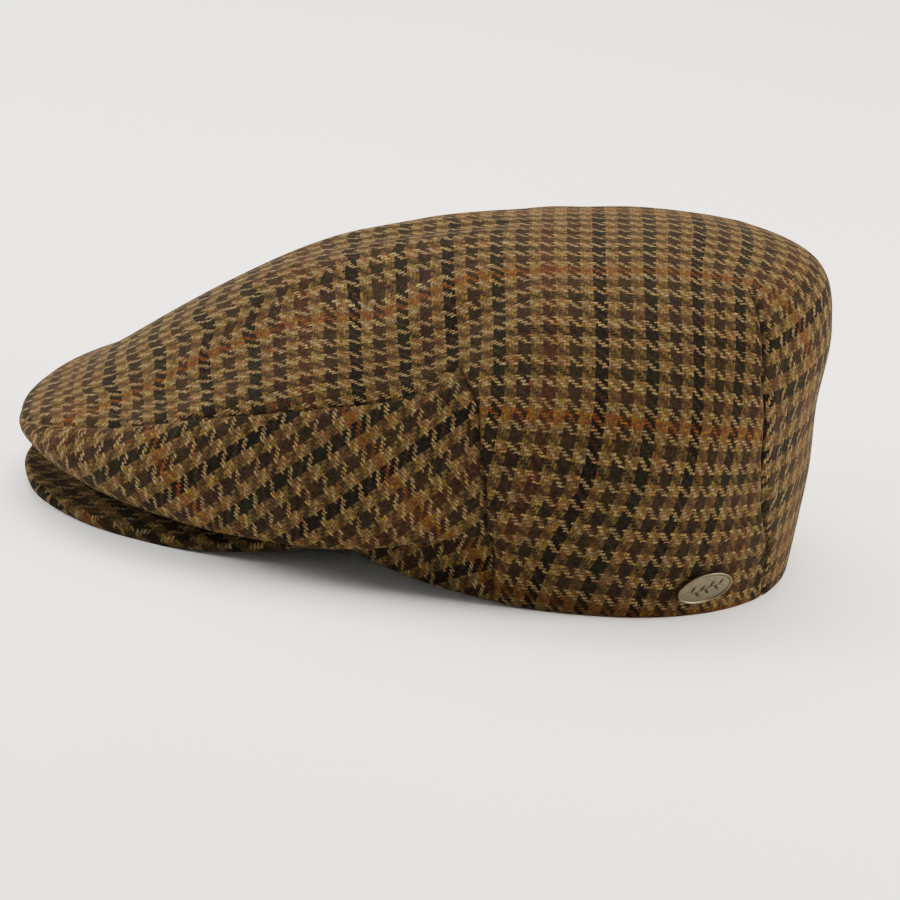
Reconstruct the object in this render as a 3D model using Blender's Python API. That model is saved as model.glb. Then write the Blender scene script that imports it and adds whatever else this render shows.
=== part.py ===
"""Flat cap with a front that overhangs its peak, resting on a table.

Units are metres and +Z is up. The peak points along -X and the wearer's left is at -Y. The cap rests on
the rear half of its hem and on the two low sides of its peak, and that level is Z = 0.

The cloth is one smooth skin. A point on it is named by an angle, from 0 at the front to 180 at the back,
and by a level, from 0 at the hem to 7 at the top of the head. Each whole level is a rail that runs right
round the cap, and the rails' sizes are in the table RAILS.
"""
import math
from collections import namedtuple

import bmesh
import bpy
import numpy as np
from mathutils import Matrix, Vector

# Driving sizes
HEAD_FRONT = 0.118      # hem, from the middle of the head to the forehead
HEAD_BACK = 0.080       # hem, from the middle of the head to the nape
HEAD_HALF = 0.0815      # hem, half of its width
CROWN_FRONT = 0.1845    # widest rail, from the middle of the head to the front
CROWN_BACK = 0.0845     # widest rail, from the middle of the head to the back
CROWN_HALF = 0.094      # widest rail, half of its width
CROWN_HEIGHT = 0.108    # skin over the middle of the head, above the table
TOP_SLOPE = 0.108       # rise of the skin there toward the back
FRONT_LIFT = 0.0125     # forehead hem over the table
CLOTH_WALL = 0.0026     # tweed with its fused backing
SEAM_GAP = 0.00035      # between two pieces of cloth at a seam
DART_DEPTH = 0.0008     # how far a sewn seam sinks into the cloth
DART_WIDTH = 3.5        # half width of that sink, in degrees round the cap

PEAK_REACH = 0.1815     # from the middle of the head to the tip
PEAK_THICK = 0.0045     # board covered with cloth on both sides
PEAK_END_THICK = 0.0034  # the same at its two ends
PEAK_TIP_LIFT = 0.003   # underside of the tip over the table
PEAK_INSET = 0.0022     # how far the peak goes in under the hem
PEAK_CLEARANCE = 0.0005  # between the peak and the hem over it
PEAK_EDGE = 0.0015      # rounding of the peak's outer edge

BADGE_LENGTH = 0.021
BADGE_HEIGHT = 0.0112
BADGE_THICK = 0.0013
BADGE_RIM = 0.0009      # width of the raised rim
BADGE_DISH = 0.0003     # how far the field lies under the rim
BADGE_ANGLE = 123.5     # place round the cap, on the wearer's left
BADGE_LEVEL = 0.5
BADGE_TURN = 7.0        # how far the badge is turned in its own plane, degrees
POST_RADIUS = 0.0011
POST_DEPTH = 0.0014     # how far the post goes into the cloth
FIT_GAP = 0.0003        # between the badge, its post and the cloth

# Rails, from the hem up. The three reaches are shares of the sizes of the hem or of the widest rail. Square
# and rear_square say how square the oval is in front and behind, where 2 is a plain oval. Each height is a
# share of the front lift or of the crown height, one for each angle in RAIL_ANGLES.
RAIL_ANGLES = (0.0, 15.0, 30.0, 44.0, 50.0, 70.0, 90.0, 135.0, 180.0)
Rail = namedtuple("Rail", "name plan front half back square rear_square tall heights")
RAILS = (
    Rail("hem", "head", 1.0, 1.0, 1.0, 2.4, 2.28, FRONT_LIFT,
         (1.04, 1.04, 1.02, 1.00, 0.66, 0.18, 0.0, 0.0, 0.0)),
    Rail("tuck", "crown", 0.683, 0.935, 0.972, 2.3, 2.2, FRONT_LIFT,
         (1.12, 1.16, 1.22, 1.26, 1.36, 1.90, 1.76, 1.76, 1.76)),
    Rail("edge", "crown", 0.932, 0.965, 0.984, 2.3, 2.12, FRONT_LIFT,
         (1.04, 1.06, 1.02, 1.10, 1.20, 2.00, 2.64, 2.72, 2.88)),
    Rail("wide", "crown", 1.0, 1.0, 0.978, 2.3, 2.1, CROWN_HEIGHT,
         (0.210, 0.213, 0.240, 0.285, 0.306, 0.389, 0.435, 0.500, 0.556)),
    Rail("haunch", "crown", 0.976, 0.894, 1.0, 2.3, 2.1, CROWN_HEIGHT,
         (0.255, 0.296, 0.426, 0.524, 0.556, 0.639, 0.685, 0.741, 0.778)),
    Rail("shoulder", "crown", 0.900, 0.638, 0.935, 2.3, 2.1, CROWN_HEIGHT,
         (0.338, 0.417, 0.645, 0.762, 0.785, 0.842, 0.876, 0.921, 0.944)),
    Rail("brow", "crown", 0.542, 0.362, 0.568, 2.0, 2.0, CROWN_HEIGHT,
         (0.754, 0.828, 0.892, 0.926, 0.935, 0.958, 0.970, 1.004, 1.023)),
)
TOP_LEVEL = float(len(RAILS))

# Seam between the front band and the crown: the level of its upper edge at each angle, up to the point
# where the edge meets the side seam, and the angle of the side seam at each level below that point.
MEETING_ANGLE = 62.5
MEETING_LEVEL = 4.45
SEAM_ANGLES = (0.0, 8.0, 15.0, 30.0, 46.0, 56.0, MEETING_ANGLE)
SEAM_LEVELS = (3.05, 3.60, 4.06, 4.12, 4.12, 4.20, MEETING_LEVEL)
SIDE_LEVELS = (0.0, 1.0, 2.0, 3.0, 4.0, MEETING_LEVEL)
SIDE_ANGLES = (76.4, 75.6, 75.0, 74.6, 69.4, MEETING_ANGLE)

# Dart at each side of the back: its angle at each level, and the level at which it runs out.
DART_LEVELS = (0.0, 1.0, 2.0, 3.0, 4.0, 5.2, 7.0)
DART_ANGLES = (146.5, 142.5, 138.0, 134.5, 133.5, 143.0, 143.0)
DART_END_LEVEL = 5.2

# Swells and hollows of the cloth, the same on both sides. Angle and level say where the middle is, spans
# say how far it reaches, and lift is a share of the wall, outward where it is positive.
Fold = namedtuple("Fold", "name angle level angle_span level_span lift")
FOLDS = (
    Fold("tuck under the front corner", 61.0, 1.1, 13.0, 0.6, -1.9),
    Fold("hollow in front of the side seam", 57.0, 5.0, 8.0, 0.6, -1.0),
    Fold("swell behind the side seam", 76.0, 4.9, 11.0, 0.7, 0.9),
    Fold("dent in the front band", 52.0, 3.5, 7.0, 0.45, -0.6),
    Fold("swell of the front corner", 24.0, 3.6, 11.0, 0.7, 0.5),
    Fold("fullness over the front corner", 18.0, 5.25, 9.0, 0.55, 1.2),
)

# Peak: reach as a share of the peak's reach, and the height of its outer edge's underside as a share of
# the tip's lift, at each angle from the front.
PeakSection = namedtuple("PeakSection", "angle reach lift")
PEAK_SECTIONS = (
    PeakSection(0.0, 1.000, 1.00),
    PeakSection(8.4, 0.984, 0.73),
    PeakSection(16.0, 0.914, 0.20),
    PeakSection(24.0, 0.798, 0.00),
    PeakSection(33.0, 0.668, 1.15),
    PeakSection(41.0, 0.568, 2.60),
    PeakSection(45.5, 0.544, 2.90),
)

# Levels below and above a point whose normals set the direction of the wall there, with their weights
LINING_SPREAD = ((-0.6, 0.12), (-0.3, 0.24), (0.0, 0.28), (0.3, 0.24), (0.6, 0.12))

# How finely the surfaces are cut
BAND_COLUMNS = 48
BAND_ROWS = 14
BACK_COLUMNS = 44
DART_COLUMNS = 8        # those from each dart to the middle of the back
TOP_ROWS = 5
PEAK_COLUMNS = 44
BADGE_SEGMENTS = 48
POST_SEGMENTS = 20

TWEED = ("wool tweed", (0.107, 0.065, 0.028), 0.92, 0.0)
PEAK_TWEED = ("wool tweed on the peak", (0.085, 0.052, 0.024), 0.92, 0.0)
BADGE_METAL = ("antique nickel", (0.42, 0.39, 0.34), 0.38, 1.0)
POST_METAL = ("plain steel", (0.50, 0.50, 0.50), 0.45, 1.0)


def clear_scene():
    """Remove the objects that the scene starts with."""
    for item in list(bpy.data.objects):
        bpy.data.objects.remove(item, do_unlink=True)


def add_material(recipe):
    """Return a Principled material made from a name, a colour, a roughness and a metallic value."""
    name, colour, roughness, metallic = recipe
    material = bpy.data.materials.new(name)
    material.use_nodes = True
    shader = material.node_tree.nodes["Principled BSDF"]
    shader.inputs["Base Color"].default_value = (*colour, 1.0)
    shader.inputs["Roughness"].default_value = roughness
    shader.inputs["Metallic"].default_value = metallic
    material.diffuse_color = (*colour, 1.0)
    return material


def soft_curve(places, values, at):
    """Return a curve through the values that keeps between neighbours and is level at both ends."""
    places = np.asarray(places, float)
    values = np.asarray(values, float)
    step = np.diff(places)
    slope = np.diff(values) / step
    tangent = np.zeros(len(places))
    for i in range(1, len(places) - 1):
        if slope[i - 1] * slope[i] > 0.0:
            before = 2.0 * step[i] + step[i - 1]
            after = step[i] + 2.0 * step[i - 1]
            tangent[i] = (before + after) / (before / slope[i - 1] + after / slope[i])
    at = np.clip(at, places[0], places[-1])
    i = np.clip(np.searchsorted(places, at) - 1, 0, len(places) - 2)
    t = (at - places[i]) / step[i]
    rise = t * t * (3.0 - 2.0 * t)
    bend = t * (1.0 - t) ** 2 * tangent[i] - t * t * (1.0 - t) * tangent[i + 1]
    return values[i] + rise * (values[i + 1] - values[i]) + bend * step[i]


def folded(angle):
    """Return the angle from the front as if it were on one side only, from 0 to 180."""
    return np.abs((np.asarray(angle, float) + 180.0) % 360.0 - 180.0)


def rail_point(rail, angle):
    """Return the points of one rail at some angles: a rounded oval in plan, at the rail's heights."""
    sizes = {"head": (HEAD_FRONT, HEAD_HALF, HEAD_BACK), "crown": (CROWN_FRONT, CROWN_HALF, CROWN_BACK)}
    front, half, back = sizes[rail.plan]
    turn = np.radians(angle)
    along = np.cos(turn)
    across = np.sin(turn)
    reach = np.where(along > 0.0, front * rail.front, back * rail.back)
    power = soft_curve((70.0, 125.0), (rail.square, rail.rear_square), folded(angle))
    radius = ((np.abs(along) / reach) ** power + (np.abs(across) / (half * rail.half)) ** power) ** (-1.0 / power)
    height = rail.tall * soft_curve(RAIL_ANGLES, rail.heights, folded(angle))
    return np.stack([-radius * along, -radius * across, height], axis=-1)


def smooth_skin_point(angle, level):
    """Return the points of the skin before its folds, on a curve through the rails (centripetal spline)."""
    angle, level = np.broadcast_arrays(np.asarray(angle, float), np.asarray(level, float))
    top = np.broadcast_to(np.array([0.0, 0.0, CROWN_HEIGHT]), angle.shape + (3,))
    knots = [rail_point(rail, angle) for rail in RAILS]
    under_hem = 2.0 * knots[0] - knots[1]
    over_top = knots[-1] * np.array([-1.0, -1.0, 1.0])
    over_top[..., 2] -= 2.0 * TOP_SLOPE * knots[-1][..., 0]
    knots = np.stack([under_hem, *knots, top, over_top])
    segment = np.clip(np.floor(level).astype(int), 0, len(RAILS) - 1)
    share = (level - segment)[..., None]
    picks = [np.take_along_axis(knots, (segment + i)[None, ..., None], axis=0)[0] for i in range(4)]
    before, start, end, after = picks
    times = [np.zeros_like(share)]
    for first, second in zip(picks[:-1], picks[1:]):
        gap = np.sqrt(np.linalg.norm(second - first, axis=-1, keepdims=True))
        times.append(times[-1] + np.maximum(gap, 1e-6))
    t0, t1, t2, t3 = times
    t = t1 + (t2 - t1) * share

    def between(low, high, a, b):
        return ((high - t) * a + (t - low) * b) / (high - low)

    first = between(t0, t2, between(t0, t1, before, start), between(t1, t2, start, end))
    second = between(t1, t3, between(t1, t2, start, end), between(t2, t3, end, after))
    return between(t1, t2, first, second)


def skin_normal(point, angle, level):
    """Return the outward unit normals of a surface given as a function of angle and level."""
    level = np.minimum(level, TOP_LEVEL - 0.02)
    low = np.maximum(level - 0.01, 0.0)
    round_step = point(angle + 0.2, level) - point(angle - 0.2, level)
    up_step = point(angle, level + 0.01) - point(angle, low)
    normal = np.cross(round_step, up_step)
    return normal / np.linalg.norm(normal, axis=-1, keepdims=True)


def fold_lift(angle, level):
    """Return how far the folds and the darts move the skin outward."""
    side = folded(angle)
    lift = np.zeros(np.broadcast(side, level).shape)
    for fold in FOLDS:
        away = ((side - fold.angle) / fold.angle_span) ** 2 + ((level - fold.level) / fold.level_span) ** 2
        lift = lift + fold.lift * CLOTH_WALL * np.exp(-away)
    dart = np.interp(level, DART_LEVELS, DART_ANGLES)
    fade = np.clip((DART_END_LEVEL - level) / 0.6, 0.0, 1.0)
    return lift - DART_DEPTH * fade * np.exp(-((side - dart) / DART_WIDTH) ** 2)


def skin_point(angle, level):
    """Return the points of the outer face of the cloth."""
    angle, level = np.broadcast_arrays(np.asarray(angle, float), np.asarray(level, float))
    normal = skin_normal(smooth_skin_point, angle, level)
    return smooth_skin_point(angle, level) + normal * fold_lift(angle, level)[..., None]


def lining_point(angle, level):
    """Return the points of the inner face: one wall inside the skin, a little less in a tight fold.

    The direction is the mean of the normals just below and above each point, so that the inside of a fold
    doesn't cross itself. Where the hem rests on the table, its inner edge lies on the table as well.
    """
    angle, level = np.broadcast_arrays(np.asarray(angle, float), np.asarray(level, float))
    inward = np.zeros(angle.shape + (3,))
    for offset, weight in LINING_SPREAD:
        inward -= weight * skin_normal(skin_point, angle, np.clip(level + offset, 0.0, TOP_LEVEL))
    shrink = np.linalg.norm(inward, axis=-1, keepdims=True)
    resting = np.clip((folded(angle) - 50.0) / 25.0, 0.0, 1.0) * np.clip(1.0 - level / 0.5, 0.0, 1.0)
    inward[..., 2] *= 1.0 - resting
    inward *= np.minimum(shrink, 1.0) / np.linalg.norm(inward, axis=-1, keepdims=True)
    return skin_point(angle, level) + inward * CLOTH_WALL


def side_angle(level):
    """Return the angle of the side seam at some levels."""
    return np.interp(level, SIDE_LEVELS, SIDE_ANGLES)


def band_top_level(share):
    """Return the level of the band's upper edge, where share runs from 0 at the front to 1 at its end."""
    return soft_curve(SEAM_ANGLES, SEAM_LEVELS, np.abs(share) * MEETING_ANGLE)


def band_grid():
    """Return the angles and levels of the front band, from side seam to side seam."""
    share = np.linspace(-1.0, 1.0, BAND_COLUMNS + 1)[None, :]
    rise = np.linspace(0.0, 1.0, BAND_ROWS + 1)[:, None]
    level = rise * band_top_level(share)
    return share * side_angle(level), level


def crown_front_grid():
    """Return the angles and levels of the crown over the band, from the seam up to the top."""
    share = np.linspace(-1.0, 1.0, BAND_COLUMNS + 1)[None, :]
    rise = np.linspace(0.0, 1.0, TOP_ROWS + 1)[:, None]
    start = band_top_level(share)
    level = start + rise * (TOP_LEVEL - start)
    return share * side_angle(level), level


def crown_back_grid():
    """Return the angles and levels of the crown behind the side seams, with a column along each dart."""
    lower = np.linspace(0.0, MEETING_LEVEL, BAND_ROWS + 1)
    upper = np.linspace(MEETING_LEVEL, TOP_LEVEL, TOP_ROWS + 1)
    level = np.concatenate([lower, upper[1:]])[:, None]
    share = np.linspace(-1.0, 1.0, BACK_COLUMNS + 1)[None, :]
    dart = np.interp(level, DART_LEVELS, DART_ANGLES)
    dart_share = 2.0 * DART_COLUMNS / BACK_COLUMNS
    size = np.abs(share)
    near_back = 180.0 - (180.0 - dart) * size / dart_share
    near_side = dart - (dart - side_angle(level)) * (size - dart_share) / (1.0 - dart_share)
    angle = np.where(size < dart_share, near_back, near_side)
    return np.where(share < 0.0, 360.0 - angle, angle), level + 0.0 * share


def drawn_back(points, amount):
    """Move the top row and the two end columns of a grid into it by an amount, which opens the seam."""
    moved = points.copy()
    for edge, inner in (((-1, slice(None)), (-2, slice(None))),
                        ((slice(None), 0), (slice(None), 1)),
                        ((slice(None), -1), (slice(None), -2))):
        step = points[inner] - points[edge]
        step /= np.linalg.norm(step, axis=-1, keepdims=True)
        moved[edge] += step * amount
    return moved


def shared_corners(angle, level):
    """Return a key for each grid point, equal where points of two grids fall on the same place."""
    top = level > TOP_LEVEL - 1e-9
    turn = np.where(top, 0.0, np.mod(angle + 1e-7, 360.0))
    return [(round(float(a), 4), round(float(b), 4)) for a, b in zip(turn.ravel(), level.ravel())]


def cloth_shell(name, grids, material, draw_back=0.0):
    """Build a closed cloth wall from one or more grids of angles and levels that share their edges."""
    index_of = {}
    outer_points, inner_points, faces = [], [], []
    for angle, level in grids:
        outer = skin_point(angle, level)
        inner = lining_point(angle, level)
        if draw_back:
            outer = drawn_back(outer, draw_back)
            inner = drawn_back(inner, draw_back)
        outer = outer.reshape(-1, 3)
        inner = inner.reshape(-1, 3)
        corners = []
        for place, key in enumerate(shared_corners(angle, level)):
            if key not in index_of:
                index_of[key] = len(outer_points)
                outer_points.append(outer[place])
                inner_points.append(inner[place])
            corners.append(index_of[key])
        rows, columns = angle.shape
        for i in range(rows - 1):
            for j in range(columns - 1):
                start = i * columns + j
                ring = [corners[start + k] for k in (0, 1, columns + 1, columns)]
                faces.append(list(dict.fromkeys(ring)))
    mesh = bmesh.new()
    outside = [mesh.verts.new(point) for point in outer_points]
    inside = [mesh.verts.new(point) for point in inner_points]
    mesh.verts.index_update()
    for face in faces:
        mesh.faces.new([outside[k] for k in face])
    rims = [tuple(vert.index for vert in edge.verts) for edge in mesh.edges if edge.is_boundary]
    for face in faces:
        mesh.faces.new([inside[k] for k in reversed(face)])
    for a, b in rims:
        mesh.faces.new([outside[a], outside[b], inside[b], inside[a]])
    bmesh.ops.recalc_face_normals(mesh, faces=mesh.faces[:])
    return finish_object(name, mesh, material)


def finish_object(name, mesh, material, location=(0.0, 0.0, 0.0)):
    """Turn a bmesh into a named, smoothly shaded object with its material."""
    data = bpy.data.meshes.new(name)
    mesh.to_mesh(data)
    mesh.free()
    data.shade_smooth()
    data.set_sharp_from_angle(angle=math.radians(42.0))
    data.materials.append(material)
    item = bpy.data.objects.new(name, data)
    item.location = location
    bpy.context.scene.collection.objects.link(item)
    return item


def peak_rings():
    """Return the peak's cross-sections, each a closed ring of points from its underside to its top."""
    last = PEAK_SECTIONS[-1].angle
    angle = np.linspace(-last, last, PEAK_COLUMNS + 1)
    places = [section.angle for section in PEAK_SECTIONS]
    reach = PEAK_REACH * soft_curve(places, [section.reach for section in PEAK_SECTIONS], np.abs(angle))
    low = PEAK_TIP_LIFT * soft_curve(places, [section.lift for section in PEAK_SECTIONS], np.abs(angle))
    thick = PEAK_THICK + (PEAK_END_THICK - PEAK_THICK) * (np.abs(angle) / last) ** 4
    hem = rail_point(RAILS[0], angle)
    root = np.hypot(hem[:, 0], hem[:, 1]) - PEAK_INSET
    root_top = hem[:, 2] - PEAK_CLEARANCE
    edge_low = np.minimum(low, root_top - thick)
    turn = np.radians(angle)
    rings = []
    for share in (0.0, 0.25, 0.5, 0.75):
        rings.append((root + (reach - PEAK_EDGE - root) * share,
                      root_top - thick + (edge_low - root_top + thick) * share))
    rings.append((reach - PEAK_EDGE, edge_low))
    for step in (30.0, 60.0, 90.0):
        over = math.radians(step)
        rings.append((reach - PEAK_EDGE + PEAK_EDGE * math.sin(over),
                      edge_low + PEAK_EDGE * (1.0 - math.cos(over))))
    for step in (0.0, 30.0, 60.0, 90.0):
        over = math.radians(step)
        rings.append((reach - PEAK_EDGE + PEAK_EDGE * math.cos(over),
                      edge_low + thick - PEAK_EDGE * (1.0 - math.sin(over))))
    for share in (0.75, 0.5, 0.25, 0.0):
        rings.append((root + (reach - PEAK_EDGE - root) * share,
                      root_top + (edge_low + thick - root_top) * share))
    points = [np.stack([-radius * np.cos(turn), -radius * np.sin(turn), height], axis=-1)
              for radius, height in rings]
    return np.stack(points, axis=1)


def build_peak(material):
    """Build the curved peak: its sections joined in turn, with the two ends closed."""
    mesh = bmesh.new()
    rings = [[mesh.verts.new(point) for point in ring] for ring in peak_rings()]
    count = len(rings[0])
    for ring, following in zip(rings[:-1], rings[1:]):
        for i in range(count):
            j = (i + 1) % count
            mesh.faces.new([ring[i], ring[j], following[j], following[i]])
    mesh.faces.new(rings[0])
    mesh.faces.new(rings[-1][::-1])
    bmesh.ops.recalc_face_normals(mesh, faces=mesh.faces[:])
    return finish_object("peak", mesh, material)


def badge_frame():
    """Return the matrix at the badge's place: +Z out of the cloth and +X along the badge's length."""
    angle = np.array(BADGE_ANGLE)
    level = np.array(BADGE_LEVEL)
    place = Vector(skin_point(angle, level))
    out = Vector(skin_normal(skin_point, angle, level))
    rearward = Vector(skin_point(angle + 0.5, level) - skin_point(angle - 0.5, level)).normalized()
    up = out.cross(rearward).normalized()
    rearward = up.cross(out).normalized()
    turn = Matrix((rearward, up, out)).transposed().to_4x4()
    return Matrix.Translation(place) @ turn @ Matrix.Rotation(math.radians(BADGE_TURN), 4, "Z")


def oval_ring(mesh, inset, height):
    """Add a ring of vertices on the badge's oval, drawn in by the inset, at a height."""
    ring = []
    for i in range(BADGE_SEGMENTS):
        turn = 2.0 * math.pi * i / BADGE_SEGMENTS
        ring.append(mesh.verts.new(((BADGE_LENGTH / 2 - inset) * math.cos(turn),
                                    (BADGE_HEIGHT / 2 - inset) * math.sin(turn), height)))
    return ring


def build_badge(material):
    """Build the oval badge: a plate with a raised rim and a slightly domed field."""
    mesh = bmesh.new()
    field = BADGE_THICK - BADGE_DISH
    middle = (BADGE_HEIGHT / 2 - BADGE_RIM)
    outline = (
        (0.0003, 0.0),
        (0.0, 0.0003),
        (0.0, BADGE_THICK - 0.0003),
        (0.0003, BADGE_THICK),
        (BADGE_RIM - 0.0002, BADGE_THICK),
        (BADGE_RIM, field),
        (BADGE_RIM + middle * 0.3, field + BADGE_DISH * 0.4),
        (BADGE_RIM + middle * 0.65, field + BADGE_DISH * 0.7),
    )
    rings = [oval_ring(mesh, inset, height) for inset, height in outline]
    for ring, following in zip(rings[:-1], rings[1:]):
        for i in range(BADGE_SEGMENTS):
            j = (i + 1) % BADGE_SEGMENTS
            mesh.faces.new([ring[i], ring[j], following[j], following[i]])
    mesh.faces.new(rings[0][::-1])
    mesh.faces.new(rings[-1])
    bmesh.ops.recalc_face_normals(mesh, faces=mesh.faces[:])
    badge = finish_object("badge", mesh, material)
    badge.matrix_world = badge_frame() @ Matrix.Translation((0.0, 0.0, 2.0 * FIT_GAP))
    return badge


def round_bar(name, radius, bottom, top, material):
    """Build a round bar along its own Z between two heights."""
    mesh = bmesh.new()
    bmesh.ops.create_cone(mesh, cap_ends=True, segments=POST_SEGMENTS, radius1=radius, radius2=radius,
                          depth=top - bottom, matrix=Matrix.Translation((0.0, 0.0, (top + bottom) / 2)))
    return finish_object(name, mesh, material)


def build_post(material):
    """Build the badge's hidden post, which stands in a hole in the cloth."""
    post = round_bar("badge_post", POST_RADIUS, -POST_DEPTH, FIT_GAP, material)
    post.matrix_world = badge_frame()
    return post


def cut_post_hole(crown, material):
    """Cut the hole for the badge's post into the crown."""
    cutter = round_bar("post_hole", POST_RADIUS + FIT_GAP, -POST_DEPTH - FIT_GAP, 0.002, material)
    cutter.matrix_world = badge_frame()
    cutter.hide_render = True
    cutter.display_type = "WIRE"
    cut = crown.modifiers.new("post hole", "BOOLEAN")
    cut.operation = "DIFFERENCE"
    cut.solver = "EXACT"
    cut.object = cutter
    return cutter


def middle_of_length():
    """Return the X of the middle of the cap's length, which becomes the origin."""
    side = np.linspace(0.0, 360.0, 121)
    levels = np.linspace(0.0, TOP_LEVEL, 71)[:, None]
    reach = skin_point(side[None, :], levels)[..., 0]
    return (min(reach.min(), -PEAK_REACH) + reach.max()) / 2.0


def main():
    """Build the cap's pieces and set them on the table around the origin."""
    clear_scene()
    tweed = add_material(TWEED)
    crown = cloth_shell("crown", (crown_front_grid(), crown_back_grid()), tweed)
    band = cloth_shell("front_band", (band_grid(),), tweed, draw_back=SEAM_GAP)
    peak = build_peak(add_material(PEAK_TWEED))
    badge = build_badge(add_material(BADGE_METAL))
    post_metal = add_material(POST_METAL)
    post = build_post(post_metal)
    cutter = cut_post_hole(crown, post_metal)
    to_middle = Matrix.Translation((-middle_of_length(), 0.0, 0.0))
    for item in (crown, band, peak, badge, post, cutter):
        item.matrix_world = to_middle @ item.matrix_world


if __name__ == "__main__":
    main()
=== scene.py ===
"""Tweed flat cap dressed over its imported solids, with its studio.

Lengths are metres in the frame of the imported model: +Z is up, the peak points along -X and the wearer's
left is at -Y. The cloth is one smooth skin. A point on it is named by an angle in degrees, 0 at the front
and 180 at the back, positive on the wearer's left, and by a level, 0 at the hem and 7 at the top.
"""

import logging
import math
from dataclasses import dataclass, field
from enum import Enum

import bpy
import numpy as np
from mathutils import Matrix, Vector


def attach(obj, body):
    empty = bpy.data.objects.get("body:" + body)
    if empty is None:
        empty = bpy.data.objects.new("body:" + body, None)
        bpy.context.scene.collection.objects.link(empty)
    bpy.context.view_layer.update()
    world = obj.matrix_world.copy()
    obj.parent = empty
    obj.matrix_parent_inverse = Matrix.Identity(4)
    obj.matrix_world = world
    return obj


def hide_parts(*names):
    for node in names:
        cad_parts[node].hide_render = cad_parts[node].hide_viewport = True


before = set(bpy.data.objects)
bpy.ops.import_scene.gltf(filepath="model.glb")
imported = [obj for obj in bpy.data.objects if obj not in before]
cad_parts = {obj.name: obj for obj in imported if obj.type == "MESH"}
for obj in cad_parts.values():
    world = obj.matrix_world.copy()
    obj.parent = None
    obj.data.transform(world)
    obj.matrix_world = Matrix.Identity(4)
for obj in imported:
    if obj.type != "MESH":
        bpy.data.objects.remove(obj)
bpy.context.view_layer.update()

Array = np.ndarray
log = logging.getLogger("flat_cap")

WARP_CHECK = 0.0084             # one repeat of the check across the warp: 4 light yarns and 4 dark ones
WEFT_CHECK = 0.0074             # the same across the weft, which is beaten closer
GROUP = 4                       # yarns of one dye side by side
WALL = 0.0026                   # tweed with its fused backing


# Small helpers

def linear(hex_colour: str) -> tuple[float, float, float, float]:
    """Turn an sRGB hex colour to linear light.

    Args:
        hex_colour: Six hex digits after a #.

    Returns:
        Red, green, blue and alpha, linear.
    """
    parts = np.array([int(hex_colour[i:i + 2], 16) for i in (1, 3, 5)]) / 255.0
    light = np.where(parts <= 0.04045, parts / 12.92, ((parts + 0.055) / 1.055) ** 2.4)
    return (*light.tolist(), 1.0)


def unit(vectors: Array) -> Array:
    """Return the vectors scaled to length one along their last axis."""
    return vectors / np.maximum(np.linalg.norm(vectors, axis=-1, keepdims=True), 1e-12)


def smooth_step(low: float, high: float, values: Array) -> Array:
    """Return 0 below low, 1 above high and 3t^2 - 2t^3 between them."""
    t = np.clip((values - low) / (high - low), 0.0, 1.0)
    return t * t * (3.0 - 2.0 * t)


def soft_curve(places: Array, values: Array, at: Array) -> Array:
    """Run a cubic through the values that never passes beyond two neighbours and is level at both ends.

    Args:
        places: Rising places of the values.
        values: Values to run through.
        at: Places to read.

    Returns:
        The curve's values: Hermite pieces whose slopes are weighted harmonic means of the chords.
    """
    places, values = np.asarray(places, float), np.asarray(values, float)
    step = np.diff(places)
    slope = np.diff(values) / step
    before, after = 2.0 * step[1:] + step[:-1], step[1:] + 2.0 * step[:-1]
    same = slope[:-1] * slope[1:] > 0.0
    safe = np.where(same[None, :], np.stack([slope[:-1], slope[1:]]), 1.0)
    tangent = np.zeros(len(places))
    tangent[1:-1] = np.where(same, (before + after) / (before / safe[0] + after / safe[1]), 0.0)
    at = np.clip(at, places[0], places[-1])
    i = np.clip(np.searchsorted(places, at) - 1, 0, len(places) - 2)
    t = (at - places[i]) / step[i]
    rise = t * t * (3.0 - 2.0 * t)
    bend = t * (1.0 - t) ** 2 * tangent[i] - t * t * (1.0 - t) * tangent[i + 1]
    return values[i] + rise * (values[i + 1] - values[i]) + bend * step[i]


def bell(*offsets: Array) -> Array:
    """Return exp(-(a^2 + b^2 ...)) of offsets counted in widths: 1 in the middle, next to 0 from 2 on."""
    return np.exp(-sum(np.square(offset) for offset in offsets))


def swing(points: Array, angle: float) -> Array:
    """Return flat points turned counter-clockwise by an angle in radians."""
    c, s = math.cos(angle), math.sin(angle)
    return points @ np.array([[c, s], [-s, c]])


def rounded(radius: float, away: Array) -> Array:
    """Return how far a quarter-round edge falls back at a distance from it: its radius at 0."""
    inside = np.clip(radius - away, 0.0, radius)
    return radius - np.sqrt(np.maximum(radius ** 2 - inside ** 2, 0.0))


def run_along(points: Array) -> Array:
    """Return the distance of each row of points from the first row, added up over the rows between."""
    step = np.linalg.norm(np.diff(points, axis=0), axis=-1)
    return np.concatenate([np.zeros_like(step[:1]), np.cumsum(step, axis=0)])


def grid_faces(rows: int, columns: int, ring: int | None = None) -> Array:
    """Return the corner indices of a grid's faces, counter-clockwise where rows go up and columns right.

    Args:
        rows: Number of rows.
        columns: Number of columns.
        ring: The axis along which the grid closes on itself, if it does.
    """
    index = np.arange(rows * columns).reshape(rows, columns)
    if ring is not None:
        index = np.concatenate([index, index.take([0], axis=ring)], axis=ring)
    return np.stack([index[:-1, :-1], index[:-1, 1:], index[1:, 1:], index[1:, :-1]], axis=-1).reshape(-1, 4)


def close_at_ends(count: int, closeness: float) -> Array:
    """Return count + 1 shares from 0 to 1 that lie closer at both ends: t - c sin(2 pi t) / (2 pi)."""
    t = np.linspace(0.0, 1.0, count + 1)
    return t - closeness * np.sin(2.0 * np.pi * t) / (2.0 * np.pi)


def close_at_start(count: int, closeness: float) -> Array:
    """Return count + 1 shares from 0 to 1 that lie closer at the start: (1 - c) t + c t^2."""
    t = np.linspace(0.0, 1.0, count + 1)
    return (1.0 - closeness) * t + closeness * t * t


# The skin of the cap

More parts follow.
